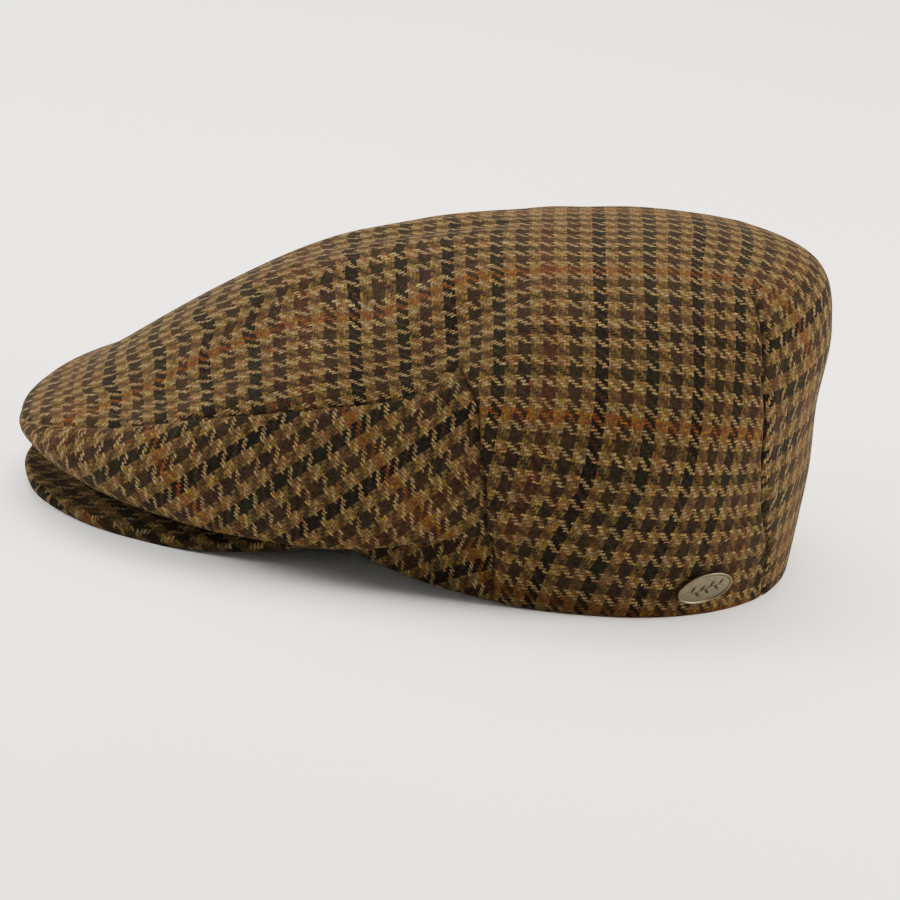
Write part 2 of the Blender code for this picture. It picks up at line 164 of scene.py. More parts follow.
class Plan(Enum):
    """Which outline in plan a rail's reaches are shares of."""

    HEAD = (0.118, 0.0815, 0.080)
    CROWN = (0.1845, 0.094, 0.0845)


@dataclass(frozen=True)
class Rail:
    """One ring round the cap: a rounded oval in plan, with a height at each of the rail angles."""

    plan: Plan
    front: float
    half: float
    back: float
    square: float                   # how square the oval is in front, where 2 is a plain oval
    rear_square: float              # the same behind
    tall: float
    heights: tuple[float, ...]


@dataclass(frozen=True)
class Fold:
    """A swell, or a hollow where its lift is negative, on both sides."""

    angle: float
    level: float
    angle_span: float
    level_span: float
    lift: float


@dataclass(frozen=True)
class Skin:
    """The cap's outer face as a function of angle and level, before its seams."""

    middle: float = 0.049927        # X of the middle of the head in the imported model's frame
    crown_height: float = 0.108
    front_lift: float = 0.0125
    top_slope: float = 0.108        # rise of the top over the middle of the head, toward the back
    top_level: float = 7.0
    dart_end: float = 5.2
    meeting: tuple[float, float] = (62.5, 4.45)
    rail_angles: tuple[float, ...] = (0.0, 15.0, 30.0, 44.0, 50.0, 70.0, 90.0, 135.0, 180.0)
    seam_angles: tuple[float, ...] = (0.0, 8.0, 15.0, 30.0, 46.0, 56.0, 62.5)
    seam_levels: tuple[float, ...] = (3.05, 3.60, 4.06, 4.12, 4.12, 4.20, 4.45)
    side_levels: tuple[float, ...] = (0.0, 1.0, 2.0, 3.0, 4.0, 4.45)
    side_angles: tuple[float, ...] = (76.4, 75.6, 75.0, 74.6, 69.4, 62.5)
    dart_levels: tuple[float, ...] = (0.0, 1.0, 2.0, 3.0, 4.0, 5.2, 7.0)
    dart_angles: tuple[float, ...] = (146.5, 142.5, 138.0, 134.5, 133.5, 143.0, 143.0)
    right_share: float = 0.45       # how much of their lift the folds keep on the wearer's right
    right_blend: float = 0.1        # sine of the angle over which that share sets in
    oval_blend: tuple[float, float] = (70.0, 125.0)     # angles between which the ovals turn to their rear
    angle_step: float = 0.2         # steps of the differences that give the normals
    level_step: float = 0.01
    folds: tuple[Fold, ...] = (
        Fold(61.0, 1.1, 13.0, 0.6, -0.00494),
        Fold(57.0, 5.0, 8.0, 0.6, -0.0026),
        Fold(76.0, 4.9, 11.0, 0.7, 0.00234),
        Fold(52.0, 3.5, 7.0, 0.45, -0.00156),
        Fold(24.0, 3.6, 11.0, 0.7, 0.0013),
        Fold(18.0, 5.25, 9.0, 0.55, 0.00312),
        Fold(0.0, 6.1, 40.0, 0.6, 0.0030),
    )

    @property
    def rails(self) -> tuple[Rail, ...]:
        """Return the rails from the hem up: hem, tuck, edge, wide, haunch, shoulder and brow."""
        lift, tall = self.front_lift, self.crown_height
        return (
            Rail(Plan.HEAD, 1.0, 1.0, 1.0, 2.4, 2.28, lift,
                 (1.04, 1.04, 1.02, 1.00, 0.66, 0.18, 0.0, 0.0, 0.0)),
            Rail(Plan.CROWN, 0.683, 0.935, 0.972, 2.3, 2.2, lift,
                 (1.12, 1.16, 1.22, 1.26, 1.36, 1.90, 1.76, 1.76, 1.76)),
            Rail(Plan.CROWN, 0.932, 0.965, 0.984, 2.3, 2.12, lift,
                 (1.04, 1.06, 1.02, 1.10, 1.20, 2.00, 2.64, 2.72, 2.88)),
            Rail(Plan.CROWN, 1.0, 1.0, 0.978, 2.3, 2.1, tall,
                 (0.210, 0.213, 0.240, 0.285, 0.306, 0.389, 0.435, 0.500, 0.556)),
            Rail(Plan.CROWN, 0.976, 0.894, 1.0, 2.3, 2.1, tall,
                 (0.255, 0.296, 0.426, 0.524, 0.556, 0.639, 0.685, 0.741, 0.778)),
            Rail(Plan.CROWN, 0.900, 0.638, 0.935, 2.3, 2.1, tall,
                 (0.338, 0.417, 0.645, 0.762, 0.785, 0.842, 0.876, 0.921, 0.944)),
            Rail(Plan.CROWN, 0.542, 0.362, 0.568, 2.0, 2.0, tall,
                 (0.754, 0.828, 0.892, 0.926, 0.935, 0.958, 0.970, 1.004, 1.023)),
        )

    def rail_point(self, rail: Rail, angle: Array) -> Array:
        """Work out points of one rail: the oval |x/a|^n + |y/b|^n = 1, at the rail's height.

        Args:
            rail: The rail.
            angle: Angles round the cap.

        Returns:
            Points whose X is measured from the middle of the head.
        """
        front, half, back = rail.plan.value
        along, across = np.cos(np.radians(angle)), np.sin(np.radians(angle))
        reach = np.where(along > 0.0, front * rail.front, back * rail.back)
        power = soft_curve(self.oval_blend, (rail.square, rail.rear_square), self.one_side(angle))
        radius = ((np.abs(along) / reach) ** power
                  + (np.abs(across) / (half * rail.half)) ** power) ** (-1.0 / power)
        height = rail.tall * soft_curve(self.rail_angles, rail.heights, self.one_side(angle))
        return np.stack([-radius * along, -radius * across, height], axis=-1)

    @staticmethod
    def one_side(angle: Array) -> Array:
        """Return the angle from the front, from 0 to 180, whichever side it is on."""
        return np.abs((np.asarray(angle, float) + 180.0) % 360.0 - 180.0)

    def smooth_point(self, angle: Array, level: Array) -> Array:
        """Work out points on a centripetal Catmull-Rom curve that climbs through the rails at each angle.

        Args:
            angle: Angles round the cap.
            level: Levels, of a shape that goes with the angles.

        Returns:
            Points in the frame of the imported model.
        """
        angle, level = np.broadcast_arrays(np.asarray(angle, float), np.asarray(level, float))
        rails = self.rails
        top = np.broadcast_to(np.array([0.0, 0.0, self.crown_height]), angle.shape + (3,))
        knots = [self.rail_point(rail, angle) for rail in rails]
        over_top = knots[-1] * np.array([-1.0, -1.0, 1.0])
        over_top[..., 2] -= 2.0 * self.top_slope * knots[-1][..., 0]
        knots = np.stack([2.0 * knots[0] - knots[1], *knots, top, over_top])
        start = np.clip(np.floor(level).astype(int), 0, len(rails) - 1)
        share = (level - start)[..., None]
        a, b, c, d = (np.take_along_axis(knots, (start + i)[None, ..., None], axis=0)[0] for i in range(4))
        steps = [np.maximum(np.sqrt(np.linalg.norm(q - p, axis=-1, keepdims=True)), 1e-6)
                 for p, q in ((a, b), (b, c), (c, d))]
        t1 = steps[0]
        t2 = t1 + steps[1]
        t3 = t2 + steps[2]
        t = t1 + (t2 - t1) * share

        def between(p: Array, q: Array, low: Array, high: Array) -> Array:
            """Return the point at t on the line through p at low and q at high."""
            return ((high - t) * p + (t - low) * q) / (high - low)

        ab, bc, cd = between(a, b, 0.0, t1), between(b, c, t1, t2), between(c, d, t2, t3)
        point = between(between(ab, bc, 0.0, t2), between(bc, cd, t1, t3), t1, t2)
        return point + np.array([self.middle, 0.0, 0.0])

    def normal(self, angle: Array, level: Array) -> Array:
        """Return outward unit normals of the smooth skin, from differences round and up the cap."""
        turn, climb = self.angle_step, self.level_step
        level = np.clip(level, 0.0, self.top_level - 2.0 * climb)
        low = np.maximum(level - climb, 0.0)
        round_step = self.smooth_point(angle + turn, level) - self.smooth_point(angle - turn, level)
        up_step = self.smooth_point(angle, level + climb) - self.smooth_point(angle, low)
        return unit(np.cross(round_step, up_step))

    def fold_lift(self, angle: Array, level: Array) -> Array:
        """Return how far the folds move the skin outward: a sum of bell-shaped swells and hollows.

        On the wearer's right the cloth is smoother: its folds keep only a share of their lift.
        """
        side = self.one_side(angle)
        left = 0.5 + 0.5 * np.tanh(np.sin(np.radians(angle)) / self.right_blend)
        lift = sum(fold.lift * bell((side - fold.angle) / fold.angle_span,
                                    (level - fold.level) / fold.level_span) for fold in self.folds)
        return lift * (self.right_share + (1.0 - self.right_share) * left)

    def side_angle(self, level: Array) -> Array:
        """Return the angle of the side seam at some levels."""
        return np.interp(level, self.side_levels, self.side_angles)

    def dart_angle(self, level: Array) -> Array:
        """Return the angle of the dart at some levels."""
        return np.interp(level, self.dart_levels, self.dart_angles)

    def band_top(self, share: Array) -> Array:
        """Return the level of the front band's upper edge, share 0 at the front and 1 at its end."""
        return soft_curve(self.seam_angles, self.seam_levels, np.abs(share) * self.meeting[0])


@dataclass(frozen=True)
class Pull:
    """A place where steam and stitching drew the crown's cloth along, alike on both sides.

    Places and spans are in the flat cloth, from the middle of the crown: along it toward the back, and out
    from its middle line.
    """

    along: float
    out: float
    along_span: float
    out_span: float
    move_along: float
    move_out: float


@dataclass(frozen=True)
class Seam:
    """A sewn line that sinks into the cloth, with the cloth swelling a little on both sides of it."""

    path: Array                 # points along the line
    sink: float                 # how deep the line lies
    sink_width: float = 0.0011
    swell: float = 0.00035      # height of the swell on each side, over the turned-in edges
    swell_at: float = 0.0042
    swell_width: float = 0.0030
    painted_shade: float = 1.0          # how dark the painted shade in the line's groove is
    painted_shade_width: float = 0.0008

    def distance(self, points: Array) -> Array:
        """Return each point's distance from the line, the least over its straight stretches."""
        nearest = np.full(points.shape[:-1], np.inf)
        for start, end in zip(self.path[:-1], self.path[1:]):
            run = end - start
            share = np.clip(((points - start) @ run) / max(run @ run, 1e-12), 0.0, 1.0)
            away = points - (start + share[..., None] * run)
            nearest = np.minimum(nearest, np.einsum("...i,...i->...", away, away))
        return np.sqrt(nearest)

    def rise(self, away: Array) -> Array:
        """Return the height of the swell at a distance, a wide bell beside the line."""
        return self.swell * bell((away - self.swell_at) / self.swell_width)

    def dip(self, away: Array) -> Array:
        """Return the depth of the groove at a distance, a narrow bell on the line."""
        return self.sink * bell(away / self.sink_width)

    def painted_shade_at(self, away: Array) -> Array:
        """Return the painted shade in the groove at a distance, a narrow bell too."""
        return self.painted_shade * bell(away / self.painted_shade_width)


@dataclass
class Patch:
    """A grid of cloth: rows climb the cap and columns go round it, counter-clockwise seen from outside."""

    angle: Array
    level: Array
    cut_side: int = 0           # differs between the two sides of a dart, which are apart in the flat cloth
    outer: Array | None = None
    inner: Array | None = None
    seam_painted_shade: Array | None = None
    flat: Array | None = None

    def quads(self, every: int = 1) -> Array:
        """Return the corner indices of the faces of the grid thinned to every n-th row and column."""
        return grid_faces(*self.angle[::every, ::every].shape)


def flatten(points: Array, triangles: Array, start: Array, rounds: int = 60) -> Array:
    """Lay a surface out flat with as little stretch as it allows, as cloth lies before it is sewn.

    Each round turns every triangle, as it is on the cap, to its best match in the flat, and then finds the
    flat points whose triangles come nearest to those turned ones in the sense of least squares.

    Args:
        points: Surface points, one row each.
        triangles: Corner indices, counter-clockwise from outside.
        start: First guess of the flat points.
        rounds: How often to repeat.

    Returns:
        Flat points in metres.
    """
    corner = points[triangles]
    one, two = corner[:, 1] - corner[:, 0], corner[:, 2] - corner[:, 0]
    length = np.linalg.norm(one, axis=1)
    cross = np.cross(one, two)
    twice_area = np.maximum(np.linalg.norm(cross, axis=1), 1e-12)
    x_axis = one / length[:, None]
    y_axis = np.cross(cross / twice_area[:, None], x_axis)
    local = np.zeros((len(triangles), 3, 2))
    local[:, 1, 0] = length
    local[:, 2, 0] = np.einsum("ij,ij->i", two, x_axis)
    local[:, 2, 1] = np.einsum("ij,ij->i", two, y_axis)
    edge = local[:, [2, 0, 1]] - local[:, [1, 2, 0]]
    slope = np.stack([-edge[..., 1], edge[..., 0]], axis=-1) / twice_area[:, None, None]
    area = twice_area / 2.0
    stiffness = np.zeros((len(points), len(points)))
    np.add.at(stiffness, (triangles[:, :, None], triangles[:, None, :]),
              area[:, None, None] * slope @ slope.transpose(0, 2, 1))
    stiffness[0, 0] += stiffness[0, 0]
    solve = np.linalg.inv(stiffness)
    flat = start - start[0]
    for _ in range(rounds):
        stretch = np.einsum("tia,tib->tab", flat[triangles], slope)
        c, s = unit(np.stack([stretch[:, 0, 0] + stretch[:, 1, 1],
                              stretch[:, 1, 0] - stretch[:, 0, 1]], axis=-1)).T
        turned = np.stack([np.stack([c, -s], axis=-1), np.stack([s, c], axis=-1)], axis=1)
        pull = np.zeros((len(points), 2))
        np.add.at(pull, triangles, area[:, None, None] * np.einsum("tab,tib->tia", turned, slope))
        flat = solve @ pull
        flat = flat - flat[0]
    return flat


def refine(coarse: Array, every: int) -> Array:
    """Fill a grid in between its points with Catmull-Rom curves along its rows and its columns.

    Args:
        coarse: Grid of points, rows by columns by size.
        every: How many fine steps lie in a coarse one.

    Returns:
        The fine grid, which passes through the coarse one.
    """
    grid = coarse
    for _ in range(2):
        ends = np.concatenate([2.0 * grid[:1] - grid[1:2], grid, 2.0 * grid[-1:] - grid[-2:-1]])
        t = np.arange(every)[None, :, None, None] / every
        a, b, c, d = (ends[i:len(ends) - 3 + i, None] for i in range(4))
        fine = 0.5 * (2.0 * b + (c - a) * t + (2.0 * a - 5.0 * b + 4.0 * c - d) * t ** 2
                      + (3.0 * b - a - 3.0 * c + d) * t ** 3)
        fine = np.concatenate([fine.reshape(-1, *grid.shape[1:]), grid[-1:]])
        grid = fine.transpose(1, 0, 2)
    return grid


# Finishes

def add(tree: bpy.types.NodeTree, kind: str, *inputs: object, named: dict[str, object] | None = None,
        **settings: object) -> bpy.types.Node:
    """Add one shader node.

    Args:
        tree: The material's node tree.
        kind: Node type without "ShaderNode".
        inputs: What its inputs in use get, in order: a plain value, or the socket or node that feeds one. A
            node stands for its first output in use.
        named: The same for inputs by name.
        settings: The node's own attributes.

    Returns:
        The node.
    """
    node = tree.nodes.new("ShaderNode" + kind)
    for key, value in settings.items():
        setattr(node, key, value)
    pairs = list(zip((socket for socket in node.inputs if socket.enabled), inputs))
    pairs += [(node.inputs[key], value) for key, value in (named or {}).items()]
    for socket, value in pairs:
        if isinstance(value, bpy.types.Node):
            value = next(out for out in value.outputs if out.enabled)
        if isinstance(value, bpy.types.NodeSocket):
            tree.links.new(value, socket)
        else:
            socket.default_value = value
    return node


def new_tree(name: str) -> tuple[bpy.types.Material, bpy.types.NodeTree]:
    """Make an empty material and return it with its node tree."""
    material = bpy.data.materials.new(name)
    material.use_nodes = True
    material.node_tree.nodes.clear()
    return material, material.node_tree


@dataclass(frozen=True)
class GunClubTweed:
    """Woollen gun club check: 2/2 twill of 4 dark and 4 light yarns, fulled and brushed.

    The eye sees small broken checks with slanting teeth, soft edged because of the wool's loose fibres. One
    dark stripe in ten of the warp is russet instead, and one in eight of the weft is rust. Sizes are metres.
    """

    name: str
    # Painted shade: below 1 it darkens a copy of the cloth, as on the peak.
    painted_shade: float = 1.0
    cream: str = "#685C43"          # light yarns of the weft
    ochre: str = "#4F4229"          # light yarns of the warp
    mustard: str = "#4F460C"
    pink: str = "#743F2A"
    black: str = "#070904"
    green: str = "#0B150B"
    brown: str = "#231B10"
    plum: str = "#251917"
    rust: str = "#582B12"
    russet: str = "#351B14"
    sheen: str = "#C8A87A"
    wander: tuple[float, float] = (0.0035, 0.0012)      # size and reach of the yarns' wandering
    fibre: tuple[float, float] = (0.0005, 0.0013)       # the same for the fibres that blur each float
    hair: tuple[float, float] = (0.00024, 0.0016)       # width and length of a hair of the nap
    hair_reach: float = 0.0014                          # how far the nap carries dye along the warp
    fleck: tuple[float, float] = (0.0005, 0.0022)       # width and length of a fleck in a yarn
    lint: float = 0.0009                                # size of the loose tufts on top
    relief: float = 0.00035                             # height of a yarn over the hollows
    fullness: float = 0.58          # how far from a weft yarn's middle the warp shows beside it, of 1
    show_through: float = 0.2       # how much a dark weft shows through a light warp

    def stripe(self, tree: bpy.types.NodeTree, yarn: bpy.types.Node, light: str,
               darks: str) -> bpy.types.Node:
        """Return the dye of each yarn: a ramp with constant steps, a light group before each dark one.

        Args:
            tree: The material's node tree.
            yarn: The yarn's number.
            light: Name of the light dye.
            darks: Names of the dark dyes in order.

        Returns:
            The ramp.
        """
        dyes = [dye for dark in darks.split() for dye in (light, dark)]
        count = len(dyes)
        place = add(tree, "Math", yarn, float(GROUP * count), operation="FLOORED_MODULO")
        share = add(tree, "Math", place, 1.0 / (GROUP * count), 0.5 / (GROUP * count),
                    operation="MULTIPLY_ADD")
        ramp = add(tree, "ValToRGB", share)
        ramp.color_ramp.interpolation = "CONSTANT"
        stops = ramp.color_ramp.elements
        while len(stops) < count:
            stops.new(0.999)
        for i, dye in enumerate(dyes):
            stops[i].position = i / count
            stops[i].color = linear(getattr(self, dye))
        return ramp

    def build(self) -> bpy.types.Material:
        """Make the material. It reads the cloth's own flat map in metres.

        Returns:
            The material.
        """
        material, tree = new_tree(self.name)
        flat = add(tree, "UVMap", uv_map="cloth")
        # Yarns wander by a fifth of their width, and their loose fibres blur the edge of each float.
        wander = add(tree, "TexNoise", flat, 1.0 / self.wander[0], 1.0)
        fibre = add(tree, "TexNoise", flat, 1.0 / self.fibre[0], 2.0, 0.6)
        place = flat
        for noise, reach in ((wander, self.wander[1]), (fibre, self.fibre[1])):
            shift = add(tree, "VectorMath", noise.outputs["Color"], (0.5,) * 3, operation="SUBTRACT")
            place = add(tree, "VectorMath", shift, (reach,) * 3, place, operation="MULTIPLY_ADD")
        # Brushed fibres lie along the warp as fine hairs and carry its dyes over the edges of the checks.
        comb = add(tree, "Mapping", flat, named={"Scale": (1.0 / self.hair[0], 1.0 / self.hair[1], 1.0)})
        nap = add(tree, "TexNoise", comb, 1.0, 2.0, 0.6)
        drift = add(tree, "Math", nap, self.hair_reach, -0.5 * self.hair_reach, operation="MULTIPLY_ADD")
        place = add(tree, "VectorMath", place, add(tree, "CombineXYZ", 0.0, drift), operation="ADD")

        # The weave at a place: the numbers of its two yarns, its share across each of them, and its distance
        # from the middle of each, -1 to 1.
        split = add(tree, "SeparateXYZ", place)
        yarns, inside, off = [], [], []
        for axis, check in enumerate((WARP_CHECK, WEFT_CHECK)):
            count = add(tree, "Math", split.outputs[axis], check / (2.0 * GROUP), operation="DIVIDE")
            yarns.append(add(tree, "Math", count, operation="FLOOR"))
            inside.append(add(tree, "Math", count, operation="FRACT"))
            off.append(add(tree, "Math", inside[-1], 2.0, -1.0, operation="MULTIPLY_ADD"))
        warp, weft = yarns
        step = add(tree, "Math", add(tree, "Math", warp, weft, operation="ADD"), 4.0,
                   operation="FLOORED_MODULO")
        warp_up = add(tree, "Math", step, 1.5, operation="LESS_THAN")

        # Height of a yarn: 1 - d^2 across itself, times a half wave along the two yarns it floats over.
        heights = []
        for yarn, other, start in ((0, 1, 0.0), (1, 0, 2.0)):
            square = add(tree, "Math", off[yarn], off[yarn], operation="MULTIPLY")
            bulge = add(tree, "Math", 1.0, square, operation="SUBTRACT")
            first = add(tree, "Math", step, start, operation="SUBTRACT")
            along = add(tree, "Math", first, inside[other], operation="ADD")
            wave = add(tree, "Math", add(tree, "Math", along, math.pi / 2.0, operation="MULTIPLY"),
                       operation="SINE")
            arch = add(tree, "Math", wave, 0.6, 0.4, operation="MULTIPLY_ADD")
            heights.append(add(tree, "Math", bulge, arch, operation="MULTIPLY"))
        height = add(tree, "Mix", warp_up, heights[1], heights[0], data_type="FLOAT")

        # The warp is the fuller yarn: it also shows on both sides of each float of the weft. A dark weft
        # shows a little through the brushed light warp.
        warp_dye = self.stripe(tree, warp, "ochre",
                               "black brown green plum black brown green plum russet brown")
        weft_dye = self.stripe(tree, weft, "cream", "green brown black plum green brown rust plum")
        beside = add(tree, "Math", add(tree, "Math", off[1], operation="ABSOLUTE"), self.fullness,
                     operation="GREATER_THAN")
        warp_shows = add(tree, "Math", warp_up, beside, operation="MAXIMUM")
        darkened = add(tree, "Mix", self.show_through, warp_dye, weft_dye, data_type="RGBA",
                       blend_type="DARKEN")
        dye = add(tree, "Mix", warp_shows, weft_dye, darkened, data_type="RGBA")

        # Blended wool: flecks of other dyes run along each yarn and differ from one crossing to the next, and
        # single yarns and crossings are lighter or darker.
        wide, long = self.fleck
        along_warp = add(tree, "Mapping", place, named={"Scale": (1.0 / wide, 1.0 / long, 1.0)})
        along_weft = add(tree, "Mapping", place, (31.0, 17.0, 5.0),
                         named={"Scale": (1.0 / long, 1.0 / wide, 1.0)})
        fleck_place = add(tree, "Mix", warp_up, along_weft, along_warp, data_type="VECTOR")
        fleck = add(tree, "TexNoise", fleck_place, 1.0, 1.0)
        lot = add(tree, "TexWhiteNoise", add(tree, "CombineXYZ", warp, weft), noise_dimensions="2D")
        flecks = add(tree, "VectorMath", lot.outputs["Color"], (0.26,) * 3, fleck.outputs["Color"],
                     operation="MULTIPLY_ADD")
        split_fleck = add(tree, "SeparateXYZ", flecks)
        tint = add(tree, "Math", warp_up, 0.35, 0.5, operation="MULTIPLY_ADD")
        for axis, (low, colour) in enumerate(((0.62, self.mustard), (0.63, self.pink))):
            share = add(tree, "MapRange", split_fleck.outputs[axis], low, low + 0.14, 0.0, 1.0,
                        interpolation_type="SMOOTHSTEP")
            share = add(tree, "Math", share, tint, operation="MULTIPLY")
            dye = add(tree, "Mix", share, dye, linear(colour), data_type="RGBA", blend_type="COLOR")
        share = add(tree, "MapRange", split_fleck.outputs[2], 0.66, 0.84, 0.0, 0.45,
                    interpolation_type="SMOOTHSTEP")
        dye = add(tree, "Mix", share, dye, linear(self.plum), data_type="RGBA")

        warp_tone = add(tree, "TexWhiteNoise", warp, noise_dimensions="1D")
        weft_tone = add(tree, "TexWhiteNoise", add(tree, "Math", weft, 0.37, operation="ADD"),
                        noise_dimensions="1D")
        tone = add(tree, "Mix", warp_up, weft_tone, warp_tone, data_type="FLOAT")
        # Painted light and shade of the weave: the colour is darker in the hollows between the yarns and a
        # little lighter on their tops.
        hollow = add(tree, "Math", height, 0.6, operation="POWER")
        # Painted shade in the grooves of the seams: their seam mark darkens the cloth there.
        seam = add(tree, "Attribute", attribute_name="seam").outputs["Fac"]
        # The colour is scaled by the painted shade of this copy of the cloth.
        bright = self.painted_shade
        for varying, slope, least in ((tone, 0.36, 0.82), (lot, 0.50, 0.75), (hollow, 0.72, 0.40),
                                      (fibre, 0.5, 0.75), (nap, 2.0, 0.0), (seam, -0.35, 1.0)):
            factor = add(tree, "Math", varying, slope, least, operation="MULTIPLY_ADD")
            bright = add(tree, "Math", bright, factor, operation="MULTIPLY")
        colour = add(tree, "VectorMath", dye, bright, operation="SCALE")
        # Loose fibres on top of the cloth catch the light.
        lint = add(tree, "TexNoise", flat, 1.0 / self.lint, 3.0, named={"Distortion": 1.5})
        share = add(tree, "MapRange", lint, 0.56, 0.72, 0.0, 0.08, interpolation_type="SMOOTHSTEP")
        colour = add(tree, "Mix", share, colour, linear(self.cream), data_type="RGBA")
        raised = add(tree, "Math", fibre, 0.55, height, operation="MULTIPLY_ADD")
        bump = add(tree, "Bump", 0.7, self.relief, named={"Height": raised})
        shader = add(tree, "BsdfPrincipled", named={
            "Base Color": colour, "Normal": bump, "Roughness": 0.94, "Specular IOR Level": 0.08,
            "Sheen Weight": 0.035, "Sheen Roughness": 0.45, "Sheen Tint": linear(self.sheen)})
        add(tree, "OutputMaterial", shader, is_active_output=True)
        return material


@dataclass(frozen=True)
class SatinNickel:
    """Nickel plate, polished and then tumbled: a warm grey gleam with soft scratches and dark hollows."""

    name: str = "antique nickel"
    metal: str = "#625C4B"
    tarnish: str = "#2E2922"
    scratch: tuple[float, float] = (1.0 / 900.0, 1.0 / 9000.0)      # length and width of a scratch, metres

    def build(self) -> bpy.types.Material:
        """Make the material, which reads Object coordinates and the piece's own ink attribute."""
        material, tree = new_tree(self.name)
        place = add(tree, "TexCoord").outputs["Object"]
        long, wide = self.scratch
        scratch = add(tree, "Mapping", place, named={"Scale": (1.0 / long, 1.0 / long, 1.0 / wide)})
        grain = add(tree, "TexNoise", scratch, 1.0, 3.0)
        cloud = add(tree, "TexNoise", place, 600.0, 4.0)
        ink = add(tree, "Attribute", attribute_name="ink").outputs["Fac"]
        dull = add(tree, "MapRange", cloud, 0.45, 0.75, 0.0, 0.35)
        dark = add(tree, "Math", ink, dull, operation="MAXIMUM")
        colour = add(tree, "Mix", dark, linear(self.metal), linear(self.tarnish), data_type="RGBA")
        rough = add(tree, "MapRange", grain, 0.3, 0.7, 0.26, 0.42)
        bump = add(tree, "Bump", 0.25, 0.00004, named={"Height": grain})
        shader = add(tree, "BsdfPrincipled", named={
            "Base Color": colour, "Roughness": rough, "Normal": bump, "Metallic": 1.0})
        add(tree, "OutputMaterial", shader, is_active_output=True)
        return material


@dataclass(frozen=True)
class DrawnSteel:
    """Drawn steel pin: plain grey with fine lines along it."""

    name: str = "plain steel"
    metal: str = "#B5B5B3"

    def build(self) -> bpy.types.Material:
        """Make the material on Object coordinates."""
        material, tree = new_tree(self.name)
        grain = add(tree, "TexNoise", add(tree, "TexCoord").outputs["Object"], 4000.0, 2.0)
        rough = add(tree, "MapRange", grain, 0.0, 1.0, 0.35, 0.5)
        shader = add(tree, "BsdfPrincipled", named={
            "Base Color": linear(self.metal), "Roughness": rough, "Metallic": 1.0})
        add(tree, "OutputMaterial", shader, is_active_output=True)
        return material


@dataclass(frozen=True)
class PaperSweep:
    """Matt white paper of a studio sweep, hardly shaded."""

    name: str = "white paper"
    paper: tuple[str, str] = ("#F8F8F7", "#FCFCFB")

    def build(self) -> bpy.types.Material:
        """Make the material with a faint mottle on Object coordinates."""
        material, tree = new_tree(self.name)
        mottle = add(tree, "TexNoise", add(tree, "TexCoord").outputs["Object"], 9.0, 2.0)
        colour = add(tree, "Mix", mottle, linear(self.paper[0]), linear(self.paper[1]), data_type="RGBA")
        shader = add(tree, "BsdfPrincipled", named={"Base Color": colour, "Roughness": 0.9})
        add(tree, "OutputMaterial", shader, is_active_output=True)
        return material


# Pieces

def make_object(name: str, points: Array, faces: list, material: bpy.types.Material,
                corner_uv: Array | None = None, marks: dict[str, Array] | None = None,
                sharp: float = 60.0) -> bpy.types.Object:
    """Put a finished surface into a mesh object at the origin.

    Args:
        name: Name of the piece.
        points: Vertices, one row each.
        faces: Corner indices of the faces.
        material: Its finish.
        corner_uv: Flat cloth coordinates of every face corner in order, in metres.
        marks: Named numbers of the vertices.
        sharp: Angle in degrees from which an edge is shaded sharp.

    Returns:
        The object.
    """
    mesh = bpy.data.meshes.new(name)
    mesh.from_pydata(points.tolist(), [], faces)
    mesh.materials.append(material)
    if corner_uv is not None:
        layer = mesh.uv_layers.new(name="cloth")
        layer.uv.foreach_set("vector", corner_uv.astype(np.float32).ravel())
    for key, values in (marks or {}).items():
        mark = mesh.attributes.new(key, "FLOAT", "POINT")
        mark.data.foreach_set("value", values.astype(np.float32).ravel())
    mesh.shade_smooth()
    mesh.set_sharp_from_angle(angle=math.radians(sharp))
    mesh.validate()
    mesh.update()
    item = bpy.data.objects.new(name, mesh)
    bpy.context.scene.collection.objects.link(item)
    return item


